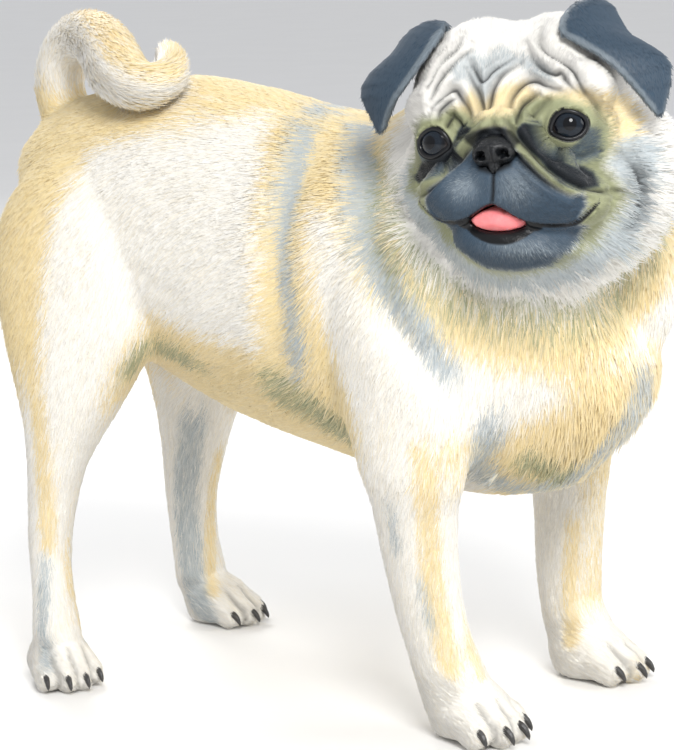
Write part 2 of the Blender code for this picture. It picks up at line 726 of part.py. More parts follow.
SKIN_CREASE_WIDTH = 0.0085
SKIN_CREASE_DEPTH = 0.0032


def body_heights(places):
    """Loose skin: the creases at the shoulder and behind it."""
    heights = np.zeros(len(places))
    shoulder = [(-0.052, -0.062, 0.268), (-0.078, -0.074, 0.236), (-0.088, -0.096, 0.200),
                (-0.084, -0.118, 0.176)]
    girth = [(-0.040, -0.026, 0.284), (-0.074, -0.024, 0.246), (-0.084, -0.024, 0.200),
             (-0.079, -0.020, 0.158)]
    for line in (shoulder, girth):
        for way in (line, mirrored(line)):
            heights += fold(places, way, SKIN_CREASE_WIDTH, SKIN_CREASE_DEPTH, bank=0.35)
    return heights


def make_body():
    """Trunk, neck and legs as one fused skin that stands on flats at the floor."""
    masses = [trunk(), neck_mass(), *breast_masses()]
    for leg in LEGS.values():
        masses += leg_masses(leg)
    body = fused("torso", masses, BODY_VOXEL, 4)
    sculpted(body, body_heights(places_of(body)))
    on_floor(body)
    fine = np.clip((0.05 - places_of(body)[:, 2]) / 0.03, 0, 1)
    return on_floor(thinned(body, BODY_TRIANGLES, fine))


def on_floor(obj):
    """Flattens what would sink below the floor, or nearly touch it, to the floor's level."""
    co = places_of(obj)
    co[co[:, 2] < 2 * GAP, 2] = 0.0
    return move_to(obj, co)


# From the root over the rump, down on the right hip and up again to the tip.
TAIL_LINE = [(0, 0.140, 0.268, 1.25), (0, 0.1525, 0.284, 1.15), (-0.001, 0.1555, 0.298, 1.06),
             (-0.003, 0.1520, 0.3120, 1.04), (-0.009, 0.1405, 0.3225, 1.02),
             (-0.019, 0.1225, 0.3265, 1.08), (-0.030, 0.1045, 0.3205, 1.20),
             (-0.0400, 0.0915, 0.3115, 1.24), (-0.047, 0.0765, 0.3050, 1.05),
             (-0.045, 0.0650, 0.3045, 0.88), (-0.034, 0.0630, 0.3090, 0.75),
             (-0.021, 0.0710, 0.3155, 0.66), (-0.010, 0.0830, 0.3200, 0.56)]
TAIL_CUTS = (0.30, 0.66)


def tail_lengths():
    """The curled tail in three lengths: root, curl and tip."""
    stations = [(x, y, z, TAIL_RADIUS * wide, TAIL_RADIUS * wide) for x, y, z, wide in TAIL_LINE]
    tail = swept("tail_root", stations, sides=10, rings=30, blunt=0.06)
    line = smooth_line([row[:3] for row in TAIL_LINE], 101)
    lengths = [tail]
    for share, name in zip(TAIL_CUTS, ("tail_curl", "tail_tip")):
        row = round(share * 100)
        spot, way = Vector(line[row]), Vector(line[row + 1] - line[row - 1]).normalized()
        bpy.ops.mesh.primitive_cylinder_add(vertices=12, radius=1.35 * TAIL_RADIUS, depth=GAP)
        disc = bpy.context.object
        turn = way.to_track_quat("Z", "Y").to_matrix().to_4x4()
        disc.data.transform(Matrix.Translation(spot) @ turn)
        rest = boolean(lengths[-1], "DIFFERENCE", disc)
        lengths.append(split_off(rest, name, line[min(row + 12, 100)]))
    return lengths


def split_off(obj, name, near):
    """Parts an object that a cut has left in two: the body nearest to a place gets the name."""
    co = places_of(obj)
    bodies = loose_bodies(obj)
    ahead = min(bodies, key=lambda body: np.linalg.norm(co[list(body)] - near, axis=1).min())
    twin = copy_of(obj, name)
    for piece, keep in ((twin, True), (obj, False)):
        mesh = bmesh.new()
        mesh.from_mesh(piece.data)
        dropped = [v for v in mesh.verts if (v.index in ahead) != keep]
        bmesh.ops.delete(mesh, geom=dropped, context="VERTS")
        mesh.to_mesh(piece.data)
        mesh.free()
    return twin


# Parting the body: each leg keeps what lies in its own block, cut again at its joints

HIP_AND_SHOULDER_ROUNDING = 0.030
SHOULDER_BLOCK = ((0.0400, -0.1420, 0.0), (0.150, -0.0380, 0.242))
FORELEG_BLOCK = ((0.0040, -0.1800, -0.02), (0.160, -0.0200, 0.104))
HIP_BLOCK = ((0.0360, 0.0400, 0.0), (0.150, 0.220, 0.262))
HINDLEG_BLOCK = ((0.0040, 0.0100, -0.02), (0.160, 0.240, 0.132))
ELBOW_LEVEL = 0.116
WRIST_LEVEL = 0.034
STIFLE_LEVEL = 0.138
HOCK_LEVEL = 0.072
HIND_PAW_LEVEL = 0.028


def leg_block(name, spread):
    """The space that belongs to a leg, spread on all sides by a gap's width."""
    side = -1 if name.endswith("right") else 1
    pieces = []
    fore = name.startswith("fore")
    for low, high in ((SHOULDER_BLOCK, FORELEG_BLOCK) if fore else (HIP_BLOCK, HINDLEG_BLOCK)):
        low = Vector(low) - Vector((spread,) * 3)
        high = Vector(high) + Vector((spread,) * 3)
        near, far = sorted((side * low.x, side * high.x))
        pieces.append(box("block", (near, low.y, low.z), (far, high.y, high.z)))
    rounding = pieces[0].modifiers.new("rounding", "BEVEL")
    rounding.width = HIP_AND_SHOULDER_ROUNDING + spread
    rounding.segments = 3
    settled(pieces[0])
    return boolean(pieces[0], "UNION", pieces[1])


def parted_leg(body, name):
    """Cuts a leg from the body and then in lengths at its joints."""
    leg = copy_of(body, name)
    boolean(leg, "INTERSECT", leg_block(name, 0.0))
    boolean(body, "DIFFERENCE", leg_block(name, GAP))
    largest_body(leg)
    if name.startswith("fore"):
        levels = {"upper_arm": ELBOW_LEVEL, "forearm": WRIST_LEVEL, "paw": 0.0}
    else:
        levels = {"thigh": STIFLE_LEVEL, "shank": HOCK_LEVEL, "pastern": HIND_PAW_LEVEL, "paw": 0.0}
    lengths = []
    top = 0.4
    for part, level in levels.items():
        length = copy_of(leg, f"{name}_{part}")
        low = level + GAP if level else -0.1
        boolean(length, "INTERSECT", box("length", (-0.3, -0.3, low), (0.3, 0.3, top)))
        lengths.append(largest_body(length))
        top = level
    bpy.data.objects.remove(leg)
    return lengths


NECK_CUT_TOP = Vector((0, -0.052, 0.292))
NECK_CUT_BREAST = Vector((0, -0.168, 0.206))


def parted_neck(body):
    """Cuts the neck from the trunk along a plane from the withers to the breast."""
    across = Vector((-1, 0, 0))
    along = (NECK_CUT_BREAST - NECK_CUT_TOP).normalized()
    turn = Matrix((across, along, across.cross(along))).transposed().to_4x4()
    neck = copy_of(body, "neck")
    for obj, operation, low in ((neck, "INTERSECT", GAP), (body, "DIFFERENCE", 0.0)):
        block = box("block", (-0.2, -0.3, low), (0.2, 0.5, 0.3))
        block.data.transform(Matrix.Translation(NECK_CUT_TOP) @ turn)
        boolean(obj, operation, block)
        largest_body(obj)
    return neck


def centred(nodes):
    """Moves every node so that the whole stands on Z = 0 with its box centred on X and Y."""
    places = np.vstack([places_of(obj) for obj in nodes])
    middle = (places.min(axis=0) + places.max(axis=0)) / 2
    for obj in nodes:
        obj.data.transform(Matrix.Translation((-middle[0], -middle[1], 0)))


def main():
    clear_scene()
    model = collection("pug")
    flesh, jaw, tongue, nose, *eyes = make_head()
    ears = [ear_flap(side, flesh) for side in (-1, 1)]
    for obj in (flesh, jaw, tongue, nose, *eyes, *ears):
        obj.data.transform(head_to_body())

    torso = make_body()
    tail = tail_lengths()
    for cutter in (flesh, jaw, tail[0]):
        boolean(torso, "DIFFERENCE", grown(cutter, GAP))
    legs = [parted_leg(torso, name) for name in LEGS]
    neck = parted_neck(torso)

    all_claws = []
    for (name, leg), lengths in zip(LEGS.items(), legs):
        for claw in claws(name, leg["foot"], leg["turn"], leg["size"]):
            boolean(lengths[-1], "DIFFERENCE", grown(claw, GAP))
            all_claws.append(claw)
        largest_body(lengths[-1])

    coated = [flesh, torso, neck, *tail, *(length for lengths in legs for length in lengths)]
    finishes = [(coated, COAT), ([jaw, *ears], MASK), ([nose], NOSE), (eyes, EYE),
                ([tongue], TONGUE), (all_claws, CLAW)]
    nodes = [obj for objects, finish in finishes for obj in objects]
    centred(nodes)
    for objects, finish in finishes:
        for obj in objects:
            for old in obj.users_collection:
                old.objects.unlink(obj)
            model.objects.link(obj)
            painted(obj, finish)


main()
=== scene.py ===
"""A pug as a life-size still model: skin and coat, ears, eyes, nose, tongue and claws."""

import json
import math

import bmesh
import bpy
import numpy as np
from mathutils import Matrix, Vector
from mathutils.bvhtree import BVHTree
from mathutils.kdtree import KDTree

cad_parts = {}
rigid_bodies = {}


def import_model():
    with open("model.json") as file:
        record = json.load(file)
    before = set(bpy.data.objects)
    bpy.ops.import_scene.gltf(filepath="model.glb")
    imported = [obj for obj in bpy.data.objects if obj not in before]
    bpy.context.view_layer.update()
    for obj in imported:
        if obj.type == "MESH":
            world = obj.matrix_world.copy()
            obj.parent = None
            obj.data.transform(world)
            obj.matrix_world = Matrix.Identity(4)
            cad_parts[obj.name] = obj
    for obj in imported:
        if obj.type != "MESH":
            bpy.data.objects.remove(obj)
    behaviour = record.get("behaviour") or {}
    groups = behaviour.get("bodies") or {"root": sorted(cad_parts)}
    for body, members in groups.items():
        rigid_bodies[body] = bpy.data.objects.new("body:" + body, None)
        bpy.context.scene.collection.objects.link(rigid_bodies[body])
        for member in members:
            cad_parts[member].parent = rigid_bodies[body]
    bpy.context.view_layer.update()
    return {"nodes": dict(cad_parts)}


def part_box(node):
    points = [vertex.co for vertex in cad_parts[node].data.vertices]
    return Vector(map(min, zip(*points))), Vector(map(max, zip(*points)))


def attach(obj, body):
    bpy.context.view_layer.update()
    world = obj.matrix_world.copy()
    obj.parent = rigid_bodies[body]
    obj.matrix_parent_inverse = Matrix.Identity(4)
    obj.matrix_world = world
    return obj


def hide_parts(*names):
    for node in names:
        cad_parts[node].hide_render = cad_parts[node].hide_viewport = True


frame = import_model()
bpy.ops.object.select_all(action="DESELECT")


# The skin
# One skin covers head, neck, trunk, legs and tail, as in life. It is raised from the solids of
# flesh, eased to the soft form under a short coat, and laid the coat's depth inside them.

LEG_LENGTHS = {"fore": ("upper_arm", "forearm", "paw"), "hind": ("thigh", "shank", "pastern", "paw")}
LEGS = [(f"{end}_{side}", lengths) for end, lengths in LEG_LENGTHS.items() for side in ("right", "left")]
TAIL = ["tail_root", "tail_curl", "tail_tip"]
FLESH = ["head", "jaw", "neck", "torso", *TAIL] + [f"{leg}_{length}" for leg, ls in LEGS for length in ls]

# The head's turn, nod and tilt and the eyes' place in the head are the solids' own.
HEAD_CENTRE = Vector((-0.043, -0.141, 0.287))
HEAD_ANGLES = {"Z": -80, "X": -3, "Y": -8}
EYE_PLACE = Vector((0.0290, -0.0405, 0.0006))
NOSE_TIP = np.array((0, -0.0690, -0.0080))
EYE_RADIUS = 0.0105

SKIN_VOXEL = 0.00125
JOIN_GROWTH = 0.0003
SKIN_TRIANGLES = 110_000
BODY_EASING = 80
LID_EASING = 60
CORNER_EASING = 160
FACE_EASING = 0.10
FOOT_EASING = 0.14


def rows_of(collection, field, width, kind=float):
    """One field of a mesh's vertices, edges or faces as rows of numbers."""
    rows = np.empty(len(collection) * width, kind)
    collection.foreach_get(field, rows)
    return rows.reshape(-1, width)


def places_of(obj):
    return rows_of(obj.data.vertices, "co", 3)


def move_to(obj, places):
    obj.data.vertices.foreach_set("co", np.ascontiguousarray(places, float).ravel())
    obj.data.update()


def normals_of(obj):
    return rows_of(obj.data.vertex_normals, "vector", 3)


def triangles_of(obj):
    obj.data.calc_loop_triangles()
    return rows_of(obj.data.loop_triangles, "vertices", 3, int)


def unit(rows):
    """Each row at length 1."""
    return rows / np.maximum(np.linalg.norm(rows, axis=-1, keepdims=True), 1e-12)


def step(values, low, high):
    """A soft step from 0 at low to 1 at high."""
    t = np.clip((values - low) / (high - low), 0, 1)
    return t * t * (3 - 2 * t)


def make_active(obj):
    bpy.ops.object.select_all(action="DESELECT")
    obj.select_set(True)
    bpy.context.view_layer.objects.active = obj


def modified(obj, kind, **settings):
    """Gives the piece a modifier and applies it."""
    make_active(obj)
    modifier = obj.modifiers.new(kind.lower(), kind)
    for name, value in settings.items():
        setattr(modifier, name, value)
    bpy.ops.object.modifier_apply(modifier=modifier.name)
    return obj


def copy_of_nodes(name, nodes):
    """One new piece from copies of CAD nodes, with their loose triangles merged."""
    mesh = bmesh.new()
    for node in nodes:
        mesh.from_mesh(frame["nodes"][node].data)
    bmesh.ops.remove_doubles(mesh, verts=mesh.verts, dist=1e-6)
    bmesh.ops.recalc_face_normals(mesh, faces=mesh.faces)
    data = bpy.data.meshes.new(name)
    mesh.to_mesh(data)
    mesh.free()
    obj = bpy.data.objects.new(name, data)
    bpy.context.scene.collection.objects.link(obj)
    return obj


def weighted(obj, name, weights):
    """A vertex group with one weight for each vertex."""
    group = obj.vertex_groups.new(name=name)
    levels = np.round(np.clip(weights, 0, 1) * 50).astype(int)
    for level in np.unique(levels):
        group.add(np.flatnonzero(levels == level).tolist(), level / 50, "REPLACE")
    return group.name


def middle(node):
    low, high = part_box(node)
    return (low + high) / 2


head_turn = Matrix.Identity(3)
for axis, degrees in HEAD_ANGLES.items():
    head_turn = head_turn @ Matrix.Rotation(math.radians(degrees), 3, axis)
between_eyes = (middle("eye_left") + middle("eye_right")) / 2
head_place = between_eyes - head_turn @ Vector((0, EYE_PLACE.y, EYE_PLACE.z))
# The model's box is centred on the floor's origin, and this is how far that moved the dog.
centring = np.array(head_place - HEAD_CENTRE)
HEAD_AXES = np.array(head_turn)
HEAD_ORIGIN = np.array(head_place)


def in_head(places):
    """Places in the head's own frame: the face looks along -Y, and +X is the dog's left."""
    return (places - HEAD_ORIGIN) @ HEAD_AXES


def from_head(places):
    return places @ HEAD_AXES.T + HEAD_ORIGIN


MOUTH_SWING = 0.0050
MOUTH_LEVEL = -0.0370
SWING_HALF_HEIGHT = 0.0140
SWING_HALF_WIDTH = 0.0300
EVENING_ROUNDS = 12


def hang(x, z):
    """How far across and up lips and chin hang, as in the solids: level under the tilted head."""
    held = step(z, -0.011, -0.028) * step(z, -0.066, -0.046) * step(np.abs(x), 0.058, 0.044)
    around_mouth = np.exp(-(((z - MOUTH_LEVEL) / SWING_HALF_HEIGHT) ** 2) - (x / SWING_HALF_WIDTH) ** 2)
    return -MOUTH_SWING * around_mouth, math.tan(math.radians(HEAD_ANGLES["Y"])) * x * held


def evened(places):
    """Places in the head's frame with lips and chin put straight across the face again."""
    even = places.copy()
    for _ in range(EVENING_ROUNDS):
        across, up = hang(even[:, 0], even[:, 2])
        even[:, 0] = places[:, 0] - across
        even[:, 2] = places[:, 2] - up
    return even


skin = copy_of_nodes("skin", FLESH)
move_to(skin, places_of(skin) + JOIN_GROWTH * normals_of(skin))
modified(skin, "REMESH", mode="VOXEL", voxel_size=SKIN_VOXEL)

face = in_head(places_of(skin))
# 1 on the face and mask, where the folds stay crisp, and 0 behind the ears.
on_face = step(np.linalg.norm(face - (0, -0.035, -0.005), axis=1), 0.085, 0.060)
on_feet = step(places_of(skin)[:, 2], 0.045, 0.030)
easing = 1 - np.maximum((1 - FACE_EASING) * on_face, (1 - FOOT_EASING) * on_feet)
eased = weighted(skin, "eased", easing)
modified(skin, "SMOOTH", factor=0.5, iterations=BODY_EASING, vertex_group=eased)
kept_fine = weighted(skin, "coarse", 1 - 0.9 * np.maximum(on_face, 0.6 * on_feet))
share = SKIN_TRIANGLES / (2 * len(skin.data.polygons))
modified(skin, "DECIMATE", ratio=share, vertex_group=kept_fine, vertex_group_factor=0.0002)
skin.vertex_groups.clear()

# The front of the face is meshed finer, for its folds, lids and lips.
make_active(skin)
bpy.ops.object.mode_set(mode="EDIT")
bpy.ops.mesh.select_all(action="SELECT")
bpy.ops.mesh.quads_convert_to_tris()
bpy.ops.mesh.select_all(action="DESELECT")
bpy.ops.mesh.select_mode(type="VERT")
bpy.ops.object.mode_set(mode="OBJECT")
face = in_head(places_of(skin))
front = (face[:, 1] < -0.030) & (np.abs(face[:, 0]) < 0.050)
front &= (face[:, 2] > -0.048) & (face[:, 2] < 0.030)
skin.data.vertices.foreach_set("select", front)
bpy.ops.object.mode_set(mode="EDIT")
bpy.ops.mesh.select_mode(type="EDGE")
bpy.ops.mesh.subdivide(number_cuts=1, smoothness=0)
bpy.ops.mesh.select_all(action="SELECT")
bpy.ops.mesh.quads_convert_to_tris()
bpy.ops.object.mode_set(mode="OBJECT")

MM = 0.001

# The lids: a soft rim of haired skin that lies on the eyeball, with what is behind it out of sight.
GAZE = math.radians(17)
GAZE_RISE = 0.06
LID_RISE = 0.0017
OPENING = {"across": 0.0072, "above": 0.0059, "below": 0.0062}
EDGE_SNAP = 0.00035


def eye_centre(side):
    return np.array((side * EYE_PLACE.x, EYE_PLACE.y, EYE_PLACE.z))


def gaze_axes(side):
    """Ahead, outwards and up for one eye, in the head's frame."""
    ahead = Vector((side * math.sin(GAZE), -math.cos(GAZE), GAZE_RISE)).normalized()
    out = Vector((side * math.cos(GAZE), math.sin(GAZE), 0))
    out = (out - out.dot(ahead) * ahead).normalized()
    rise = Vector((0, 0, 1))
    rise = (rise - rise.dot(ahead) * ahead).normalized()
    return np.array(ahead), np.array(out), np.array(rise)


def opening_angle(turn):
    """The angle off the gaze at which the lids' edge lies, at each turn round the eye."""
    high = np.where(np.sin(turn) > 0, OPENING["above"], OPENING["below"])
    wide = 1 / np.sqrt((np.cos(turn) / OPENING["across"]) ** 2 + (np.sin(turn) / high) ** 2)
    # The upper lid slants down outwards, and the inner corner is drawn out towards the nose.
    wide *= 1 - 0.15 * np.clip(np.cos(turn - math.radians(55)), 0, 1) ** 4
    inner_corner = np.abs((turn - math.radians(195) + math.pi) % (2 * math.pi) - math.pi)
    wide *= 1 + 0.14 * np.exp(-((inner_corner / math.radians(20)) ** 2))
    return np.arcsin(np.clip(wide / EYE_RADIUS, 0, 0.95))


def around_eye(local, side):
    """For places in the head's frame: the way from the eye's centre, its length, the arc past the
    lids' edge and the turn round the eye."""
    ahead, out, rise = gaze_axes(side)
    from_eye = local - eye_centre(side)
    far = np.linalg.norm(from_eye, axis=1)
    off_gaze = np.arccos(np.clip(from_eye @ ahead / np.maximum(far, 1e-9), -1, 1))
    turn = np.arctan2(from_eye @ rise, from_eye @ out)
    edge = opening_angle(turn)
    past = (off_gaze - edge) * EYE_RADIUS
    # Vertices beside the edge are set on it, so that it runs clean.
    angle = np.where(np.abs(past) < EDGE_SNAP, edge, off_gaze)
    past = np.where(np.abs(past) < EDGE_SNAP, 0, past)
    aside = np.cos(turn)[:, None] * out + np.sin(turn)[:, None] * rise
    way = np.cos(angle)[:, None] * ahead + np.sin(angle)[:, None] * aside
    return way, far, past, turn


face = in_head(places_of(skin))
lid_edge = np.full(len(face), 1.0)
for side in (-1, 1):
    way, far, past, turn = around_eye(face, side)
    socket = (far < EYE_RADIUS + 0.00095) | ((past < 0) & (far < 0.018))
    hood = 0.0005 * np.clip(np.sin(turn), 0, 1)
    rim = EYE_RADIUS - 0.0003 + (LID_RISE + 0.0003 + hood) * np.sqrt(np.clip(past / 0.0010, 0, 1))
    keep = step(past, 0.0030, 0.0075)
    laid = np.where(socket, EYE_RADIUS - 0.0015, rim * (1 - keep) + far * keep)
    near = far < 0.021
    face = np.where(near[:, None], eye_centre(side) + way * laid[:, None], face)
    lid_edge = np.minimum(lid_edge, np.where(far < 0.020, np.maximum(past, 0), 1.0))
move_to(skin, from_head(face))
# The skin eases from the lids into brow and cheek.
round_eyes = step(lid_edge, 0.0011, 0.0024) * step(lid_edge, 0.013, 0.008)
lids = weighted(skin, "lids", round_eyes)
modified(skin, "SMOOTH", factor=0.5, iterations=LID_EASING, vertex_group=lids)
# So do the flews where jaw and cheek meet at the mouth's corners, and the underside of the chin.
face = evened(in_head(places_of(skin)))
aside = np.abs(face[:, 0])
corners = step(aside, 0.0175, 0.0220) * step(aside, 0.060, 0.048) * step(face[:, 1], 0.018, 0.004)
corners *= step(face[:, 2], -0.022, -0.030) * step(face[:, 2], -0.080, -0.062)
under_chin = step(face[:, 2], -0.050, -0.056) * step(aside, 0.052, 0.040) * step(face[:, 1], 0.014, 0.0)
soft = weighted(skin, "soft", np.maximum(corners, under_chin))
modified(skin, "SMOOTH", factor=0.5, iterations=CORNER_EASING, vertex_group=soft)
skin.vertex_groups.clear()

# A pug's wrinkles, drawn on the face from the front: (x, z) in millimetres in the head's frame,
# with width and depth of the groove. Each side has its own, as skin never folds twice alike.
ROLLS = [
    # The grooves below and above the roll over the nose, on the left side and on the right.
    ([(3.5, 1.5), (7.5, -6), (11.5, -11.5), (17.5, -17.5), (24.5, -24), (30.5, -29)],
     [(5, 8), (9, 1.5), (13.5, -6), (18.8, -12.6), (26.5, -20), (35, -26)]),
    ([(-3.5, 1.5), (-9.5, -2.5), (-18, -8.5), (-26, -15.5), (-34, -20), (-44, -22.5)],
     [(-5, 8), (-10, 5), (-18, -2), (-26, -9.5), (-36, -14.5), (-46, -18)]),
]
FOLDS = [
    ([(-14, 35), (-11, 30), (-7.5, 24.5), (-3.5, 28), (1, 30.5), (5, 32.5)], 1.5, 1.8),
    ([(-15, 32), (-12, 26), (-9, 20), (-6.5, 13.5), (-4.5, 11), (-3.5, 16), (-2, 22), (2, 27),
      (10, 31)], 1.7, 2.4),
    ([(-20, 46), (-21, 41), (-26, 37), (-31, 31), (-33, 25)], 1.7, 2.0),
    ([(-14, 40), (-19.5, 36), (-24.5, 31.5), (-28.5, 26.5), (-31, 20)], 1.7, 2.0),
    ([(-31, 16), (-25, 20.5), (-20, 23), (-17.5, 20.5), (-14.5, 14.5), (-12, 9.5)], 1.6, 2.2),
    ([(-18, 19), (-22, 17.5), (-27, 14), (-28, 11)], 1.3, 1.5),
    ([(-20, 13), (-22.5, 9), (-24, 5)], 1.2, 1.4),
    ([(16, 46), (17, 40), (19.5, 36), (24, 32), (30, 28), (35.5, 22), (38, 15), (41, 9),
      (44, 1)], 1.9, 2.6),
    ([(12, 36), (17, 30), (22, 25.5), (26, 23.5), (29, 23.5), (31, 20), (34.5, 15.5),
      (38, 12.5)], 1.6, 2.2),
    ([(31, 15), (25, 17.5), (18.5, 21.5), (14, 22), (10.5, 20.5), (7, 16.5), (6, 13),
      (9, 10.5)], 1.6, 2.4),
    ([(19, 15.5), (15.5, 14.5), (11.8, 12), (10.5, 8), (11, 2)], 1.4, 2.0),
    ([(23, 12.5), (18, 9), (15.5, 4), (16.5, -3), (20, -9.5), (25.5, -12.5), (32, -14),
      (38.5, -12)], 1.4, 1.8),
    ([(-23, 12.5), (-18.5, 9), (-16, 4), (-17, -1)], 1.3, 1.6),
    ([(30, -23.5), (36.3, -27.1), (41, -29.3), (46, -31)], 1.2, 1.4),
    ([(48.3, -15.9), (52.4, -23), (53.4, -29.9), (51.4, -37), (47.6, -43.8), (44, -47.5)], 2.4, 2.6),
]
ROLL_GROOVES = ((1.5, 2.4), (1.6, 2.8))
CREASE_BANK = 0.35
SHADE_SPREAD = 1.9
SHADE_SHARE = 0.44
LIP_GROOVE = (1.1, 2.2)
LIP_GROOVE_END = 0.0385
PHILTRUM = [(0, -15.0), (0, -20), (0, -25), (0, -29.5)]
PHILTRUM_SIZE = (0.9, 1.5)
ROLL_RISE = 0.0014
LINE_POINTS = 40


def smooth_line(points, count):
    """A Catmull-Rom curve through the points, sampled evenly by its chords."""
    rows = np.asarray(points, float)
    ends = np.vstack([2 * rows[0] - rows[1], rows, 2 * rows[-1] - rows[-2]])
    steps = np.linalg.norm(np.diff(rows, axis=0), axis=1)
    along = np.concatenate([[0], np.cumsum(steps)])
    wanted = np.linspace(0, along[-1], count)
    span = np.clip(np.searchsorted(along, wanted, side="right") - 1, 0, len(rows) - 2)
    t = ((wanted - along[span]) / steps[span])[:, None]
    a, b, c, d = (ends[span + i] for i in range(4))
    return 0.5 * (2 * b + (c - a) * t + (2 * a - 5 * b + 4 * c - d) * t**2
                  + (3 * b - a - 3 * c + d) * t**3)


def line_distance(places, line, reach=0.012):
    """How far each place lies from a line, and how far along it, from 0 to 1."""
    apart = np.full(len(places), np.inf)
    along = np.zeros(len(places))
    low, high = line.min(axis=0) - reach, line.max(axis=0) + reach
    near = np.flatnonzero(((places > low) & (places < high)).all(axis=1))
    close = places[near]
    for number, (a, b) in enumerate(zip(line[:-1], line[1:])):
        run = b - a
        t = np.clip((close - a) @ run / max(run @ run, 1e-18), 0, 1)
        gap = np.linalg.norm(close - a - t[:, None] * run, axis=1)
        nearer = gap < apart[near]
        along[near[nearer]] = (number + t[nearer]) / (len(line) - 1)
        apart[near[nearer]] = gap[nearer]
    return apart, along


def surface_under(points, tree):
    """The places of the face that lie straight behind points drawn on it from the front."""
    found = []
    for x, z in points:
        hit = tree.ray_cast(Vector((x * MM, -0.2, z * MM)), Vector((0, 1, 0)))[0]
        if hit is not None:
            found.append(hit)
    return np.array(found)


def on_face_line(points, hung=False):
    """A line drawn from the front, laid on the face, its depth eased where the face drops away."""
    drawn = smooth_line(points, LINE_POINTS)
    if hung:
        drawn = drawn + np.stack(hang(*drawn.T * MM), axis=1) / MM
    line = surface_under(drawn, front_of_face)
    for _ in range(6):
        line[1:-1, 1] = (line[:-2, 1] + 2 * line[1:-1, 1] + line[2:, 1]) / 4
    return line


def upper_lip(x):
    """The height of the upper lip's edge, in metres, as in the solids."""
    x = abs(x)
    corner = 0.0085 * max(0.0, (x - 0.026) / 0.0135) ** 2
    return -0.0378 + 0.0088 * math.exp(-((x / 0.0105) ** 1.7)) + corner


def face_tree():
    """The front of the skin as a tree of faces in the head's frame."""
    local = in_head(places_of(skin))
    triangles = triangles_of(skin)
    ahead = (local[triangles, 1] < 0.010).all(axis=1)
    ahead &= (np.abs(local[triangles, 0]) < 0.07).all(axis=1)
    return BVHTree.FromPolygons(local.tolist(), triangles[ahead].tolist())


front_of_face = face_tree()
face = in_head(places_of(skin))
raised = np.zeros(len(face))
crease = np.zeros(len(face))
fold_lines = [(on_face_line(points), width, depth) for points, width, depth in FOLDS]
for grooves in ROLLS:
    fold_lines += [(on_face_line(points), *size) for points, size in zip(grooves, ROLL_GROOVES)]
for side in (-1, 1):
    edge = [(side * x / MM, upper_lip(x) / MM) for x in np.linspace(0.0125, LIP_GROOVE_END, 10)]
    fold_lines.append((on_face_line(edge, hung=True), *LIP_GROOVE))
for line, width, depth in fold_lines:
    apart, along = line_distance(face, line)
    # A wrinkle starts and ends shallow.
    strength = np.sqrt(np.clip(4 * along * (1 - along), 0.15, 1))
    groove = np.exp(-((apart / (width * MM)) ** 2))
    banks = CREASE_BANK * np.exp(-(((apart / MM - 2.1 * width) / (1.1 * width)) ** 2))
    raised += depth * MM * strength * (banks - groove)
    # Its bottom is painted black as shade, and the hair beside it gets a softer painted shade.
    crease = np.maximum(crease, strength * np.exp(-((apart / (0.75 * width * MM)) ** 2)))
    shade = SHADE_SHARE * strength * np.exp(-((apart / (SHADE_SPREAD * width * MM)) ** 2))
    crease = np.maximum(crease, shade)
# The philtrum runs from nose to lip, as deep at its ends.
apart, _ = line_distance(face, on_face_line(PHILTRUM, hung=True))
width, depth = PHILTRUM_SIZE
groove = np.exp(-((apart / (width * MM)) ** 2))
raised -= depth * MM * groove
# Its groove is painted black as shade.
crease = np.maximum(crease, groove)
# The roll over the nose stands up between its two grooves.
for below, above in ROLLS:
    middle_line = [((a + c) / 2, (b + d) / 2) for (a, b), (c, d) in zip(below, above)]
    apart, along = line_distance(face, on_face_line(middle_line))
    raised += ROLL_RISE * np.exp(-((apart / 0.0024) ** 2)) * step(along, 1.0, 0.8)
# The lids' own edge stays where it lies on the eye.
raised *= step(lid_edge, 0.0008, 0.0030)
crease *= step(lid_edge, 0.0015, 0.0035)
move_to(skin, places_of(skin) + raised[:, None] * normals_of(skin))

# Toes: a groove runs back over the foot from between each two claws.
TOE_GROOVE = {"length": 0.017, "width": 0.0014, "depth": 0.0016, "top": 0.022}


def claw_root(leg, toe):
    """The middle of a claw's back edge."""
    low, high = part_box(f"{leg}_claw_{toe}")
    return np.array(((low.x + high.x) / 2, (low.y + high.y) / 2, 0))


skin_places = places_of(skin)
pressed = np.zeros(len(skin_places))
for leg, _ in LEGS:
    roots = [claw_root(leg, toe) for toe in (1, 2, 3, 4)]
    spread = unit(roots[3] - roots[0])
    rearward = np.array((-spread[1], spread[0], 0)) * np.sign(spread[0])
    for first, second in zip(roots[:-1], roots[1:]):
        gap = (first + second) / 2
        from_gap = (skin_places - gap) * (1, 1, 0)
        back_by, aside = from_gap @ rearward, from_gap @ spread
        here = (np.abs(aside) < 0.004) & (back_by > -0.012) & (back_by < TOE_GROOVE["length"])
        here &= skin_places[:, 2] < TOE_GROOVE["top"]
        fade = step(back_by, TOE_GROOVE["length"], 0.4 * TOE_GROOVE["length"]) * here
        pressed = np.maximum(pressed, fade * np.exp(-((aside / TOE_GROOVE["width"]) ** 2)))
move_to(skin, skin_places - TOE_GROOVE["depth"] * pressed[:, None] * normals_of(skin))
# The grooves between the toes are darkened with painted shade.
crease = np.maximum(crease, 0.55 * pressed)
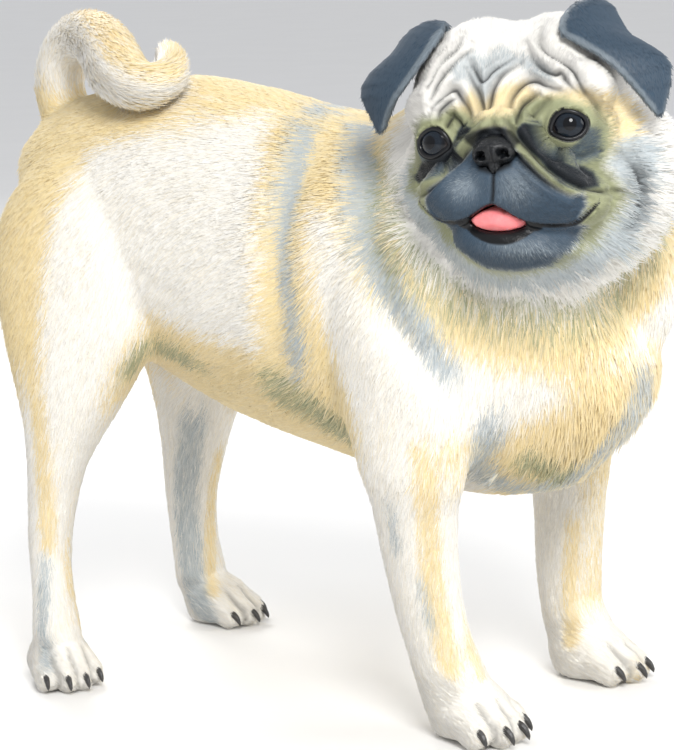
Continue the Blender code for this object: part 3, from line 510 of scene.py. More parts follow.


# The coat's markings, and the shade and highlight painted on the coat
# A black mask on muzzle, chin and round the eyes fades through smoky hairs to a pale fawn coat,
# whitest on flank, cheeks and breast, on flank and breast partly as painted highlight. The creases
# of the shoulder are grey, partly smutty hair and partly painted shade, and the face's folds and
# hollows are painted black as shade.

# Outlines are drawn from the front, (x, z) in millimetres, with the mouth straight across.
MASK_EDGE = [(0, 4), (6, 3), (8.5, -4.5), (12, -11), (18, -16.4), (25.5, -21.8), (31.5, -25),
             (36, -24.5), (36.5, -29), (31, -39), (25, -49), (14, -57.5), (0, -59), (-13, -57),
             (-24, -49), (-33, -40), (-35, -31), (-33, -23), (-26, -17), (-18, -10), (-10, -4), (-6, 3)]
# The hollows between the nose's roll and the eyes, painted black as shade.
LEFT_HOLLOW = [(10, 1), (13, 4), (17.8, 4), (18.4, -4), (21, -8.5), (25.5, -12), (31, -15), (37.5, -18.5),
               (40, -22.5), (35, -23.3), (29, -20.6), (22.5, -15.8), (15.5, -9), (10.5, -2)]
RIGHT_HOLLOW = [(-11, 5), (-14, 1), (-21, -5), (-27, -9.5), (-36, -14), (-46, -18), (-49, -13),
                (-41, -7.5), (-33, -5.5), (-26, -4.5), (-21, 0), (-17, 7)]
EYE_PATCH = [(36, 4), (41.5, -3), (40.5, -14), (33, -15.5), (26, -13.8), (19.8, -9.8), (17.5, -4),
             (18.5, 4), (21, -2.5), (28.6, -7.2), (35, -3.6)]
SMOKE_EDGE = [(0, 9), (8, 8), (12, 13), (18, 14.5), (29.5, 13), (41, 7.5), (45, -2), (44, -12),
              (41, -17), (45, -22), (46.5, -27), (42, -34), (36, -41), (28, -50), (18, -58.5),
              (0, -61), (-14, -60), (-26, -54), (-36, -46), (-42, -37), (-46, -28), (-52, -20),
              (-51, -10), (-47, 2), (-42, 8), (-36.5, 12), (-28, 12), (-22, 15), (-16, 13), (-8, 8)]
# Grey round the mask's lower edge over cheeks and chin: partly the mask's grey edge, partly painted shade.
GREY_SHADE_RING = [(0, -69), (18, -66), (33, -58), (45, -47), (53, -37), (58, -26), (58, -13), (52, -6),
             (45, -9), (42, -16), (46, -23), (46, -28), (36, -40), (28, -49), (0, -58)]
NOSE_SHADE = [(-15, 3), (-11, 4), (-5, 5), (0, 5), (5, 4.5), (9, 2.5), (13, -3.5), (9.5, -8),
              (8, -14), (0, -17), (-8, -14), (-10, -6)]
FOREHEAD_GREY = [(-20, 26), (-22, 33), (-14, 38), (-7, 35), (0, 38), (7, 34), (15, 32), (24, 25),
                 (26, 20), (18, 23), (8, 30), (-2, 24), (-6, 14), (-10, 20), (-14, 26)]
WARM_FACE = [(-12, 22), (-6, 17), (4, 22), (12, 22), (20, 15), (36, 16), (46, 12), (52, 7), (53, -6),
             (48, -15), (40, -12), (30, -5), (0, 0), (-24, 2), (-27, 8), (-20, 15), (-16, 16)]
# Where the short hair of muzzle and chin catches the light: (x, z) and half sizes in millimetres.
LIT_PADS = [((10.5, -21.5), (8.0, 6.5)), ((-14, -20.5), (7.0, 6.5)), ((9, -48.5), (14, 4.5))]


# The white of flank and shoulder from the side, (y, z) in millimetres in the dog's own place:
# paler hair, partly a painted highlight where the light falls.
WHITE_AND_LIT_SIDES = [
    [(94, 275), (41, 287), (4, 290), (-10, 268), (-16, 226), (-15, 183), (24, 187), (58, 197),
     (80, 165), (90, 120), (100, 60), (122, 60), (112, 150), (110, 191), (106, 249)],
    [(-40, 252), (-66, 250), (-92, 236), (-118, 206), (-146, 206), (-160, 172), (-130, 150),
     (-73, 155), (-56, 193), (-44, 224)],
]
# Pale patches of breast, legs and feet as (x, y, z) and (half length, half height) in metres:
# paler hair, partly a painted highlight.
PALE_AND_LIT_PATCHES = [
    ((0.030, -0.176, 0.214), (0.044, 0.028)),
    ((0.066, -0.092, 0.095), (0.030, 0.078)),
    ((0.066, 0.122, 0.080), (0.018, 0.078)),
    ((0.066, -0.110, 0.016), (0.040, 0.026)),
    ((0.066, 0.108, 0.016), (0.040, 0.024)),
]
# Grey bands run down the creases of the loose skin, each with half its width in metres: partly
# smutty hair, partly painted shade in the creases.
SKIN_CREASES = [
    ([(0.022, -0.045, 0.286), (0.052, -0.058, 0.265), (0.068, -0.071, 0.242), (0.083, -0.090, 0.220),
      (0.086, -0.107, 0.203), (0.081, -0.119, 0.184)], 0.0080),
    ([(0.005, -0.011, 0.292), (0.042, -0.019, 0.277), (0.063, -0.025, 0.253), (0.074, -0.029, 0.231),
      (0.081, -0.034, 0.209), (0.081, -0.036, 0.190), (0.079, -0.034, 0.172)], 0.0056),
]
# Fawn also runs down the legs. Grey runs down the legs' shaded edges and along the breast's lower
# edge as painted shade.
GREY_SHADE_LINES = [
    ([(0.004, -0.176, 0.172), (0.009, -0.170, 0.152), (0.011, -0.154, 0.131), (0.018, -0.136, 0.118),
      (0.038, -0.120, 0.126), (0.050, -0.116, 0.138), (0.060, -0.128, 0.156)], 0.0085),
    ([(0.085, -0.089, 0.120), (0.083, -0.088, 0.109), (0.080, -0.088, 0.098)], 0.0026),
    ([(0.075, -0.098, 0.079), (0.073, -0.100, 0.068), (0.070, -0.102, 0.056)], 0.0022),
    ([(0.044, 0.108, 0.117), (0.050, 0.119, 0.082), (0.053, 0.120, 0.048), (0.053, 0.117, 0.020),
      (0.051, 0.109, 0.007)], 0.0072),
    ([(0.076, 0.120, 0.066), (0.078, 0.120, 0.048), (0.080, 0.120, 0.030), (0.086, 0.114, 0.012)], 0.0032),
]
FAWN_LINES = [
    ([(0.085, -0.107, 0.150), (0.081, -0.107, 0.121), (0.073, -0.103, 0.091), (0.068, -0.104, 0.061),
      (0.065, -0.108, 0.039)], 0.0058),
    ([(0.053, -0.115, 0.084), (0.053, -0.113, 0.058), (0.051, -0.113, 0.022)], 0.0045),
    ([(0.082, 0.122, 0.184), (0.083, 0.115, 0.150), (0.078, 0.116, 0.108), (0.075, 0.118, 0.076)], 0.0050),
    ([(0.063, 0.103, 0.098), (0.064, 0.112, 0.057), (0.054, 0.107, 0.021)], 0.0045),
]
# Smoky painted shade lies in the fold of the flank, behind the elbow and under the breast.
SHADED_FOLDS = [
    ([(0.057, 0.072, 0.170), (0.059, 0.056, 0.177), (0.061, 0.038, 0.172)], 0.0050),
    ([(0.069, -0.020, 0.166), (0.069, -0.036, 0.157), (0.062, -0.048, 0.143)], 0.0070),
    ([(0.020, -0.150, 0.128), (0.040, -0.140, 0.136)], 0.0060),
]
CREASE_EDGE = 0.0030
CREASE_SMUT_AND_SHADE = 0.90
LEG_SHADE = 0.75
LEG_FAWN = 0.80
FOLD_SHADE = 0.75
RUFF_SHADE = 0.42
# The middle of the tail from its root over the rump, down on the right hip and up to the tip.
TAIL_LINE = [(0, 0.140, 0.268), (0, 0.1525, 0.284), (-0.001, 0.1555, 0.298), (-0.003, 0.1520, 0.3120),
             (-0.009, 0.1405, 0.3225), (-0.019, 0.1225, 0.3265), (-0.030, 0.1045, 0.3205),
             (-0.0400, 0.0915, 0.3115), (-0.047, 0.0765, 0.3050), (-0.045, 0.0650, 0.3045),
             (-0.034, 0.0630, 0.3090), (-0.021, 0.0710, 0.3155), (-0.010, 0.0830, 0.3200)]
TAIL_REACH = 0.020
# The middle of the skull in the head's frame, from which ruff and neck are told apart.
SKULL_CENTRE = (0, 0, -0.010)


def depth_inside(points, outline):
    """How deep each flat point lies inside an outline, and less than 0 outside it."""
    outline = np.asarray(outline, float) * MM
    inside = np.zeros(len(points), bool)
    nearest = np.full(len(points), np.inf)
    for a, b in zip(outline, np.roll(outline, -1, axis=0)):
        run = b - a
        t = np.clip((points - a) @ run / max(run @ run, 1e-18), 0, 1)
        nearest = np.minimum(nearest, np.linalg.norm(points - a - t[:, None] * run, axis=1))
        crosses = (a[1] > points[:, 1]) != (b[1] > points[:, 1])
        at = a[0] + (points[:, 1] - a[1]) * run[0] / (run[1] if abs(run[1]) > 1e-12 else 1e-12)
        inside ^= crosses & (points[:, 0] < at)
    return np.where(inside, nearest, -nearest)


local = in_head(places_of(skin))
body = places_of(skin) - centring
even = evened(local)
flat = even[:, [0, 2]]
folded = np.abs(flat) * (1, 0) + flat * (0, 1)
# Marks drawn on the face end where the head turns away from the front.
off_head = np.where(np.linalg.norm(local, axis=1) > 0.10, 1.0, 0)
behind_face = 0.8 * np.maximum(0, local[:, 1] + 0.016) + off_head
nearest_eye = np.linalg.norm(folded - (EYE_PLACE.x, EYE_PLACE.z), axis=1)

mask = step(depth_inside(flat, MASK_EDGE) - behind_face, -0.0015, 0.0015)
hollow = np.maximum(depth_inside(flat, LEFT_HOLLOW), depth_inside(flat, RIGHT_HOLLOW))
crescent = step(hollow - behind_face, -0.0012, 0.0010)
patch = step(depth_inside(folded, EYE_PATCH) - behind_face, -0.0018, 0.0018)
patch *= step(nearest_eye, 0.0082, 0.0100)
smoke = step(depth_inside(flat, SMOKE_EDGE) - behind_face, -0.0030, 0.0025)
grey = 0.90 * step(depth_inside(folded, GREY_SHADE_RING) - 0.5 * behind_face, -0.003, 0.003)
grey = np.maximum(grey, 0.7 * step(depth_inside(flat, FOREHEAD_GREY) - behind_face, -0.002, 0.002))
warm = 0.85 * step(depth_inside(flat, WARM_FACE) - behind_face, -0.003, 0.003)

from_skull = np.linalg.norm(local - SKULL_CENTRE, axis=1)
on_head = step(from_skull, 0.078, 0.066)
pale = np.zeros(len(body))
for outline in WHITE_AND_LIT_SIDES:
    pale = np.maximum(pale, step(depth_inside(body[:, 1:], outline), -0.006, 0.006))
pale *= step(np.abs(body[:, 0]), 0.012, 0.026)
for (x, y, z), (half_length, half_height) in PALE_AND_LIT_PATCHES:
    away = np.hypot((body[:, 1] - y) / half_length, (body[:, 2] - z) / half_height)
    # A patch on a leg fades towards the middle of the body.
    if x > 0.03:
        away = np.hypot(away, np.clip((0.6 * x - np.abs(body[:, 0])) / 0.02, 0, 5))
    pale = np.maximum(pale, step(away, 1.30, 0.70))
# Under the ruff the coat is warmer, with smoky painted shade where the ruff's own shade falls.
below_face = step(local[:, 2], 0.012, -0.008)
pale *= 1 - step(from_skull, 0.100, 0.088) * below_face
under_ruff = step(from_skull, 0.064, 0.068) * step(from_skull, 0.088, 0.078) * below_face
warm = np.maximum(warm, (1 - on_head) * 0.92 * (1 - 0.92 * pale))
# The tail is white below and behind, with a fawn band along its upper side.
tail_middle = smooth_line(TAIL_LINE, 60)
apart, along = line_distance(body, tail_middle, reach=0.03)
nearest_middle = tail_middle[np.round(along * (len(tail_middle) - 1)).astype(int)]
upper_side = ((body - nearest_middle) @ (-0.15, -0.55, 0.80)) / np.maximum(apart, 1e-6)
on_tail = step(apart, TAIL_REACH, TAIL_REACH - 0.003) * step(body[:, 2], 0.288, 0.300)
warm = warm * (1 - on_tail) + on_tail * (0.12 + 0.70 * step(upper_side, 0.35, 0.85))


def with_bands(values, lines, share, faded=False):
    """Values raised to a share along lines drawn on both sides of the body."""
    for side in (-1, 1):
        for line, half_width in lines:
            marked = smooth_line([(side * x, y, z) for x, y, z in line], 30)
            apart, _ = line_distance(body, marked, reach=0.03)
            outer, inner = half_width + CREASE_EDGE, half_width - CREASE_EDGE
            if faded:
                outer, inner = 2 * half_width, 0.6 * half_width
            values = np.maximum(values, share * step(apart, outer, inner))
    return values


grey = with_bands(grey, SKIN_CREASES, CREASE_SMUT_AND_SHADE * (1 - on_head))
grey = with_bands(grey, GREY_SHADE_LINES, LEG_SHADE)
warm = with_bands(warm, FAWN_LINES, LEG_FAWN)
smoke = with_bands(smoke, SHADED_FOLDS, FOLD_SHADE, faded=True)
smoke = np.maximum(smoke, RUFF_SHADE * under_ruff)
dark = np.maximum.reduce([mask, crescent, 0.85 * patch])
smoke *= 1 - mask
grey = np.maximum(grey, mask)
for (x, z), (half_width, half_height) in LIT_PADS:
    lit = np.exp(-(((flat[:, 0] / MM - x) / half_width) ** 2) - ((flat[:, 1] / MM - z) / half_height) ** 2)
    dark *= 1 - 0.32 * lit * mask
# Painted shade: blackest round the nose and in the hollow between nose and eyes.
nose_shade = step(depth_inside(flat, NOSE_SHADE), -0.001, 0.002) * (local[:, 1] < -0.02)
black = np.maximum.reduce([crescent, nose_shade, crease])

# Bare wet skin: the lips, the lids' edges and the inside of the mouth and of the nose's bed.
GAPE_HALF_WIDTH = 0.0155
LOWER_LIP_BAND = 0.0046


def lower_lip(x):
    parted = -0.0410 + 0.0045 * (abs(x) / GAPE_HALF_WIDTH) ** 2
    return min(upper_lip(x) - 0.0003, parted)


upper = np.array([upper_lip(x) for x in even[:, 0]])
lower = np.array([lower_lip(x) for x in even[:, 0]])
low_face = (even[:, 1] < -0.010) & (np.abs(even[:, 0]) < 0.041) & (even[:, 2] < -0.020)
band = LOWER_LIP_BAND * np.sqrt(np.clip(1 - (even[:, 0] / 0.0190) ** 2, 0, 1))
between = np.maximum(even[:, 2] - upper, lower - band - even[:, 2])
lips = np.where(low_face, step(between, 0.0016, 0.0004), 0)
in_mouth = low_face & (even[:, 2] < upper + 0.0006) & (even[:, 2] > lower - 0.0006)
in_mouth &= (np.abs(even[:, 0]) < 0.0175) & (even[:, 1] > -0.0545)
nose_bed = np.linalg.norm((even - (0, -0.0600, -0.0085)) / (0.0098, 0.0095, 0.0085), axis=1) < 1.0
on_floor = body[:, 2] < 0.0012
bare = np.maximum.reduce([lips, in_mouth, nose_bed, on_floor, step(lid_edge, 0.0016, 0.0009)])
wet = np.maximum.reduce([lips, in_mouth, step(lid_edge, 0.0012, 0.0007)])

MARKINGS = {"warm": warm, "grey": grey, "smoke": smoke, "dark": dark, "crease": black, "wet": wet,
            "tint": np.full(len(local), 0.5), "along": np.full(len(local), 0.35)}


def marked_with(obj, markings):
    for name, values in markings.items():
        layer = obj.data.attributes.new(name, "FLOAT", "POINT")
        layer.data.foreach_set("value", np.ascontiguousarray(values, np.float32))


def linear(hex_colour):
    """An sRGB hex colour as Blender's linear red, green, blue and alpha."""
    parts = [int(hex_colour[i:i + 2], 16) / 255 for i in (1, 3, 5)]
    return (*(c / 12.92 if c <= 0.04045 else ((c + 0.055) / 1.055) ** 2.4 for c in parts), 1.0)


def fill(tree, node, inputs):
    """Sets or links a node's inputs."""
    for name, value in inputs.items():
        if isinstance(value, bpy.types.NodeSocket):
            tree.links.new(value, node.inputs[name])
        else:
            node.inputs[name].default_value = value


def add(tree, kind, inputs=None, output=0, **settings):
    """Adds a node with its settings, fills its inputs and gives one of its outputs."""
    made = tree.nodes.new(kind)
    for name, value in settings.items():
        setattr(made, name, value)
    fill(tree, made, inputs or {})
    return made.outputs[output]


def new_material(name):
    """A material with a bare Principled shader, and its node tree."""
    made = bpy.data.materials.new(name)
    made.use_nodes = True
    return made, made.node_tree, made.node_tree.nodes["Principled BSDF"]


WHITE_HAIR = "#FDFAF3"
FAWN_HAIR = "#F6DFA6"
GREY_HAIR = "#B9C2C5"
SMOKY_HAIR = "#A3A681"
MASK_HAIR = "#3C4F60"
# Painted shade: black in the folds, grooves and hollows.
BLACK_SHADE = "#0D1013"
LIP_SKIN = "#0C0D0F"


def hair_colour(tree):
    """The coat's colour from the markings that skin and tufts carry, each laid over the last."""
    share = {name: add(tree, "ShaderNodeAttribute", output="Fac", attribute_name=name)
             for name in ("warm", "grey", "smoke", "dark", "crease", "tint", "along")}
    # The last layer is painted shade: black in the folds, grooves and hollows.
    share["crease"] = add(tree, "ShaderNodeMath", {0: share["crease"], 1: 0.94}, operation="MULTIPLY")
    colour = linear(WHITE_HAIR)
    for name, above in (("warm", FAWN_HAIR), ("grey", GREY_HAIR), ("smoke", SMOKY_HAIR),
                        ("dark", MASK_HAIR), ("crease", BLACK_SHADE)):
        layers = {0: share[name], 6: colour, 7: linear(above)}
        colour = add(tree, "ShaderNodeMix", layers, output=2, data_type="RGBA")
    # Each tuft is a little lighter or darker than the next, and darker at its root, a painted shade for
    # the depth of the coat.
    spread = add(tree, "ShaderNodeMapRange", {0: share["tint"], 3: 0.90, 4: 1.05})
    depth = add(tree, "ShaderNodeMapRange", {0: share["along"], 3: 0.88, 4: 1.02})
    light = add(tree, "ShaderNodeMath", {0: spread, 1: depth}, operation="MULTIPLY")
    return add(tree, "ShaderNodeVectorMath", {0: colour, "Scale": light}, operation="SCALE")


# Short dog hair: keratin, IOR 1.55, each hair glossy but the coat soft to the eye, with a faint
# bloom of light on its rim.
hair, tree, shader = new_material("short_dog_hair")
fill(tree, shader, {"Base Color": hair_colour(tree), "Roughness": 0.52, "IOR": 1.55,
                    "Specular IOR Level": 0.5, "Sheen Weight": 0.12, "Sheen Roughness": 0.5})

# Dog skin under the coat: the same colours, matt, broken by the fine grain of hair that lies on
# it; lips, lid edges and gums are black, wet and glossy. Real hairs are finer than this grain,
# which is drawn as coarse as it needs to show.
HAIR_GRAIN = 0.0007
hide, tree, shader = new_material("haired_dog_skin")
wet_skin = add(tree, "ShaderNodeAttribute", output="Fac", attribute_name="wet")
layers = {0: wet_skin, 6: hair_colour(tree), 7: linear(LIP_SKIN)}
at = add(tree, "ShaderNodeTexCoord", output="Object")
grain = add(tree, "ShaderNodeTexNoise", {"Vector": at, "Scale": 1 / HAIR_GRAIN, "Detail": 3.0})
fill(tree, shader, {
    "Base Color": add(tree, "ShaderNodeMix", layers, output=2, data_type="RGBA"),
    "Roughness": add(tree, "ShaderNodeMapRange", {0: wet_skin, 3: 0.75, 4: 0.30}), "IOR": 1.40,
    "Normal": add(tree, "ShaderNodeBump", {"Height": grain, "Strength": 0.35, "Distance": 0.0004})})


def dressed(obj, material):
    """Shades a piece smooth and gives it its one material."""
    obj.data.polygons.foreach_set("use_smooth", np.ones(len(obj.data.polygons), bool))
    obj.data.materials.clear()
    obj.data.materials.append(material)


marked_with(skin, MARKINGS)
dressed(skin, hide)
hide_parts(*FLESH)
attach(skin, "root")


# The coat
# Short straight hair that grows from the nose back over the head, down the neck and sides and
# along the tail. It is modelled as thin three-sided tufts, rooted in the skin and lying along it.

LIE = {
    "torso": (0, 1.0, -0.30), "neck": (0.15, 0.75, -0.85), "upper_arm": (0, 0.30, -1.0),
    "forearm": (0, 0.15, -1.0), "thigh": (0, 0.45, -1.0), "shank": (0, 0.20, -1.0),
    "pastern": (0, 0.05, -1.0), "paw": (0, -1.0, -0.45),
}
FRINGES = [((0.069, -0.032, 0.158), 0.012), ((0.062, -0.046, 0.144), 0.012),
           ((0.028, -0.158, 0.142), 0.018)]
# Locks stand this many millimetres apart, and draw in the hair that grows within their reach.
LOCK_SPACING = 6.0
LOCK_REACH = 0.0042
LOCK_LEAN = 0.80
LOCK_LENGTHENED = 0.40
LOCK_TAPER = 0.85
EASING_ROUNDS = 40
COAT_SHARE = 0.75
EDGE_MIXING = 1.3
HAIR_SEED = 7


def vertex_nodes(places):
    """For each place, the number in FLESH of the solid nearest to it."""
    found = []
    for number, name in enumerate(FLESH):
        found += [(co, number) for co in places_of(frame["nodes"][name])]
    tree = KDTree(len(found))
    for i, (co, number) in enumerate(found):
        tree.insert(co, i)
    tree.balance()
    return np.array([found[tree.find(co)[1]][1] for co in places])


def eased_over(rows, edges, rounds):
    """Values at the vertices, averaged with their neighbours again and again."""
    count = np.bincount(edges.ravel(), minlength=len(rows)).astype(float)
    for _ in range(rounds):
        total = np.empty_like(rows)
        for column in range(rows.shape[1]):
            total[:, column] = np.bincount(edges[:, 0], rows[edges[:, 1], column], len(rows))
            total[:, column] += np.bincount(edges[:, 1], rows[edges[:, 0], column], len(rows))
        rows = 0.5 * rows + 0.5 * total / np.maximum(count, 1)[:, None]
    return rows


def part_of(*endings):
    """Where the solid nearest to the skin has a name with one of these endings."""
    return np.isin(owner, [i for i, name in enumerate(FLESH) if name.endswith(endings)])


edges = rows_of(skin.data.edges, "vertices", 2, int)
normals = normals_of(skin)
owner = vertex_nodes(places_of(skin))
lie = np.zeros((len(local), 3))
for number, name in enumerate(FLESH):
    here = owner == number
    if name in ("head", "jaw"):
        # From the nose outwards and back over the skull.
        way = unit(local[here] - NOSE_TIP) + (0, 0.35, 0)
        lie[here] = way @ HEAD_AXES.T
    elif name in TAIL:
        spot = np.argmin(np.linalg.norm(body[here][:, None] - tail_middle, axis=2), axis=1)
        lie[here] = np.gradient(tail_middle, axis=0)[spot]
    else:
        lie[here] = next(way for kind, way in LIE.items() if name.endswith(kind))
# On the breast the hair runs down and outwards.
breast = step(body[:, 1], -0.120, -0.165) * part_of("torso")
lie += breast[:, None] * 2.5 * np.array((0, -0.4, -1.0))
lie = eased_over(unit(lie), edges, EASING_ROUNDS)
lie -= (lie * normals).sum(axis=1)[:, None] * normals
lie = unit(lie)

# Length in millimetres, lift off the skin in radians and tufts for each square millimetre.
far_from_nose = np.linalg.norm(local - NOSE_TIP, axis=1)
is_head = part_of("head", "jaw")
is_tail = part_of(*TAIL)
is_leg = part_of("forearm", "shank", "pastern")
is_paw = part_of("paw")
length = np.full(len(local), 9.0)
length[is_leg] = 6.5
length[is_paw] = 3.8
length[is_head] = 1.6 + 6.4 * step(far_from_nose[is_head], 0.034, 0.085)
ruff = is_head * step(np.hypot(local[:, 0], local[:, 2] + 0.01), 0.050, 0.062)
ruff *= step(local[:, 2], 0.010, -0.012)
length += 6.5 * ruff - 1.0 * is_tail + 2.0 * breast
breeches = step(body[:, 1], 0.140, 0.158) * step(body[:, 2], 0.10, 0.15) * step(body[:, 2], 0.27, 0.22)
breeches *= ~is_head
# Longer hair hangs behind the elbows and between the forelegs.
fringe = np.zeros(len(body))
either_side = np.abs(body) * (1, 0, 0) + body * (0, 1, 1)
for spot, reach in FRINGES:
    apart = np.linalg.norm(either_side - spot, axis=1)
    fringe = np.maximum(fringe, np.exp(-((apart / reach) ** 2)))
length += 3.0 * breeches + 6.0 * fringe
# It is shortest in and beside the wrinkles, which stay open.
by_crease = np.clip(2.2 * eased_over(crease[:, None], edges, 8)[:, 0], 0, 1) * is_head
length *= 1 - 0.55 * by_crease
length = np.where(nearest_eye < 0.012, np.minimum(length, 1.3), length)
length = eased_over(length[:, None], edges, 12)[:, 0]
lift = 0.085 + 0.25 * fringe + 0.24 * ruff + 0.09 * is_tail + 0.10 * breeches + 0.05 * breast
lift = eased_over(lift[:, None], edges, 8)[:, 0]
density = np.where(is_head, 1.1 + 2.2 * step(far_from_nose, 0.075, 0.040), 0.88)
locked = np.maximum.reduce([ruff, fringe, 0.7 * breeches])
locked = eased_over(locked[:, None], edges, 4)[:, 0]
density[is_paw] = 1.7
density[is_leg] = 1.0
density = density * (1 - step(bare, 0.3, 0.7))
width = np.clip(0.105 * length, 0.34, 1.05)
# The skin lies inside the solids by the depth of its coat, but not at the lids.
coat_depth = COAT_SHARE * length * MM * np.sin(lift) * (1 - step(0.010 - lid_edge, 0, 0.006))
move_to(skin, places_of(skin) - coat_depth[:, None] * normals)


def bake_patches():
    """A coarse copy of the skin, unwrapped, for the tufts' places on the skin's map."""
    coarse = skin.copy()
    coarse.data = skin.data.copy()
    coarse.parent = None
    bpy.context.scene.collection.objects.link(coarse)
    modified(coarse, "DECIMATE", ratio=0.035)
    bpy.ops.object.mode_set(mode="EDIT")
    bpy.ops.mesh.select_all(action="SELECT")
    bpy.ops.mesh.quads_convert_to_tris()
    bpy.ops.uv.smart_project(angle_limit=math.radians(60), island_margin=0.004)
    bpy.ops.object.mode_set(mode="OBJECT")
    co = places_of(coarse)
    corners = rows_of(coarse.data.polygons, "vertices", 3, int)
    uv = rows_of(coarse.data.uv_layers.active.data, "uv", 2).reshape(-1, 3, 2)
    bpy.data.objects.remove(coarse)
    return co, corners, uv


map_places, map_faces, map_uv = bake_patches()
map_tree = BVHTree.FromPolygons(map_places.tolist(), map_faces.tolist())
TUFT_PATCH = 0.003


def map_spots(roots):
    """Where each root lies on the skin's unwrapped map."""
    hits = [map_tree.find_nearest(root) for root in roots]
    spots = np.array([hit[0] for hit in hits])
    rows = np.array([hit[2] for hit in hits])
    a, b, c = (map_places[map_faces[rows, i]] for i in range(3))
    ab, ac, ap = b - a, c - a, spots - a
    d00, d01, d11 = (ab * ab).sum(1), (ab * ac).sum(1), (ac * ac).sum(1)
    d20, d21 = (ap * ab).sum(1), (ap * ac).sum(1)
    rest = np.maximum(d00 * d11 - d01 * d01, 1e-18)
    v, w = (d11 * d20 - d01 * d21) / rest, (d00 * d21 - d01 * d20) / rest
    shares = np.stack([1 - v - w, v, w], axis=1)
    return (map_uv[rows] * shares[:, :, None]).sum(axis=1)


def mesh_from(name, places, faces, uv, markings):
    """A piece from rows of places and of triangles, with a map for each corner."""
    data = bpy.data.meshes.new(name)
    data.vertices.add(len(places))
    data.vertices.foreach_set("co", places.ravel())
    data.loops.add(faces.size)
    data.loops.foreach_set("vertex_index", faces.ravel().astype(np.int32))
    data.polygons.add(len(faces))
    data.polygons.foreach_set("loop_start", np.arange(0, faces.size, 3, dtype=np.int32))
    data.polygons.foreach_set("use_smooth", np.ones(len(faces), bool))
    data.update(calc_edges=True)
    layer = data.uv_layers.new(name="OFBake")
    layer.data.foreach_set("uv", uv[faces.ravel()].ravel())
    obj = bpy.data.objects.new(name, data)
    bpy.context.scene.collection.objects.link(obj)
    marked_with(obj, markings)
    return obj


# A tuft's corners: left and right root, back of the root and tip, and its four faces.
TUFT_FACES = np.array([(0, 1, 3), (1, 2, 3), (2, 0, 3), (0, 2, 1)])
PATCH_CORNERS = np.array([(-0.5, -0.5), (0.5, -0.5), (0, 0), (0, 0.5)]) * TUFT_PATCH
ROOT_SINK = 0.0004


def grow_tufts(name, roots, normals, ways, sizes, markings, rng):
    """Tufts as one piece. sizes holds length, width and lift of each."""
    count = len(roots)
    long, wide, lifted = sizes
    # Each tuft strays a little from its neighbours in length, way and lift.
    long = long * rng.uniform(0.75, 1.20, count)
    sideways = unit(np.cross(normals, ways))
    ways = unit(ways + sideways * rng.normal(0, 0.16, count)[:, None])
    sideways = unit(np.cross(normals, ways))
    lifted = lifted * rng.uniform(0.5, 1.5, count)
    base = roots - ROOT_SINK * normals
    left = base - sideways * (wide / 2)[:, None]
    right = base + sideways * (wide / 2)[:, None]
    back = base + normals * (ROOT_SINK + 0.45 * wide)[:, None] - ways * (0.3 * wide)[:, None]
    tip = roots + ways * (long * np.cos(lifted))[:, None] + normals * (long * np.sin(lifted))[:, None]
    places = np.stack([left, right, back, tip], axis=1).reshape(-1, 3)
    places[:, 2] = np.maximum(places[:, 2], 0)
    faces = (TUFT_FACES[None] + 4 * np.arange(count)[:, None, None]).reshape(-1, 3)
    uv = (map_spots(roots)[:, None] + PATCH_CORNERS[None]).reshape(-1, 2)
    values = {name: np.repeat(of_root, 4) for name, of_root in markings.items()}
    values["tint"] = np.repeat(rng.uniform(0, 1, count), 4)
    values["along"] = np.tile([0.0, 0.0, 0.3, 1.0], count)
    piece = mesh_from(name, places, faces, uv, values)
    # Light falls on short hair as on the skin it lies along, so a tuft's two upper faces are
    # shaded near to the skin, and the faces below keep their own normals.
    left_lean, right_lean = unit(normals - 0.25 * sideways), unit(normals + 0.25 * sideways)
    below = unit(np.cross(left - tip, right - tip))
    below *= -np.sign((below * normals).sum(axis=1))[:, None]
    behind = -ways
    shading = [below] * 3 + [right_lean, normals, normals] + [normals, left_lean, normals] + [behind] * 3
    piece.data.normals_split_custom_set(np.stack(shading, axis=1).reshape(-1, 3).tolist())
    return piece


def rooted(triangles, places, density, rng):
    """Random roots on the triangles: corner numbers and shares, as many as the density asks."""
    a, b, c = (places[triangles[:, i]] for i in range(3))
    area = np.linalg.norm(np.cross(b - a, c - a), axis=1) / 2
    wanted = area / MM**2 * density[triangles].mean(axis=1)
    whole = np.floor(wanted + rng.uniform(0, 1, len(wanted))).astype(int)
    chosen = np.repeat(np.arange(len(triangles)), whole)
    first, second = rng.uniform(0, 1, (2, len(chosen)))
    over = first + second > 1
    first[over], second[over] = 1 - first[over], 1 - second[over]
    return triangles[chosen], np.stack([1 - first - second, first, second], axis=1)


def spread_over(values, corners, shares):
    """Vertex values carried to the roots."""
    if values.ndim == 1:
        return (values[corners] * shares).sum(axis=1)
    return (values[corners] * shares[:, :, None]).sum(axis=1)


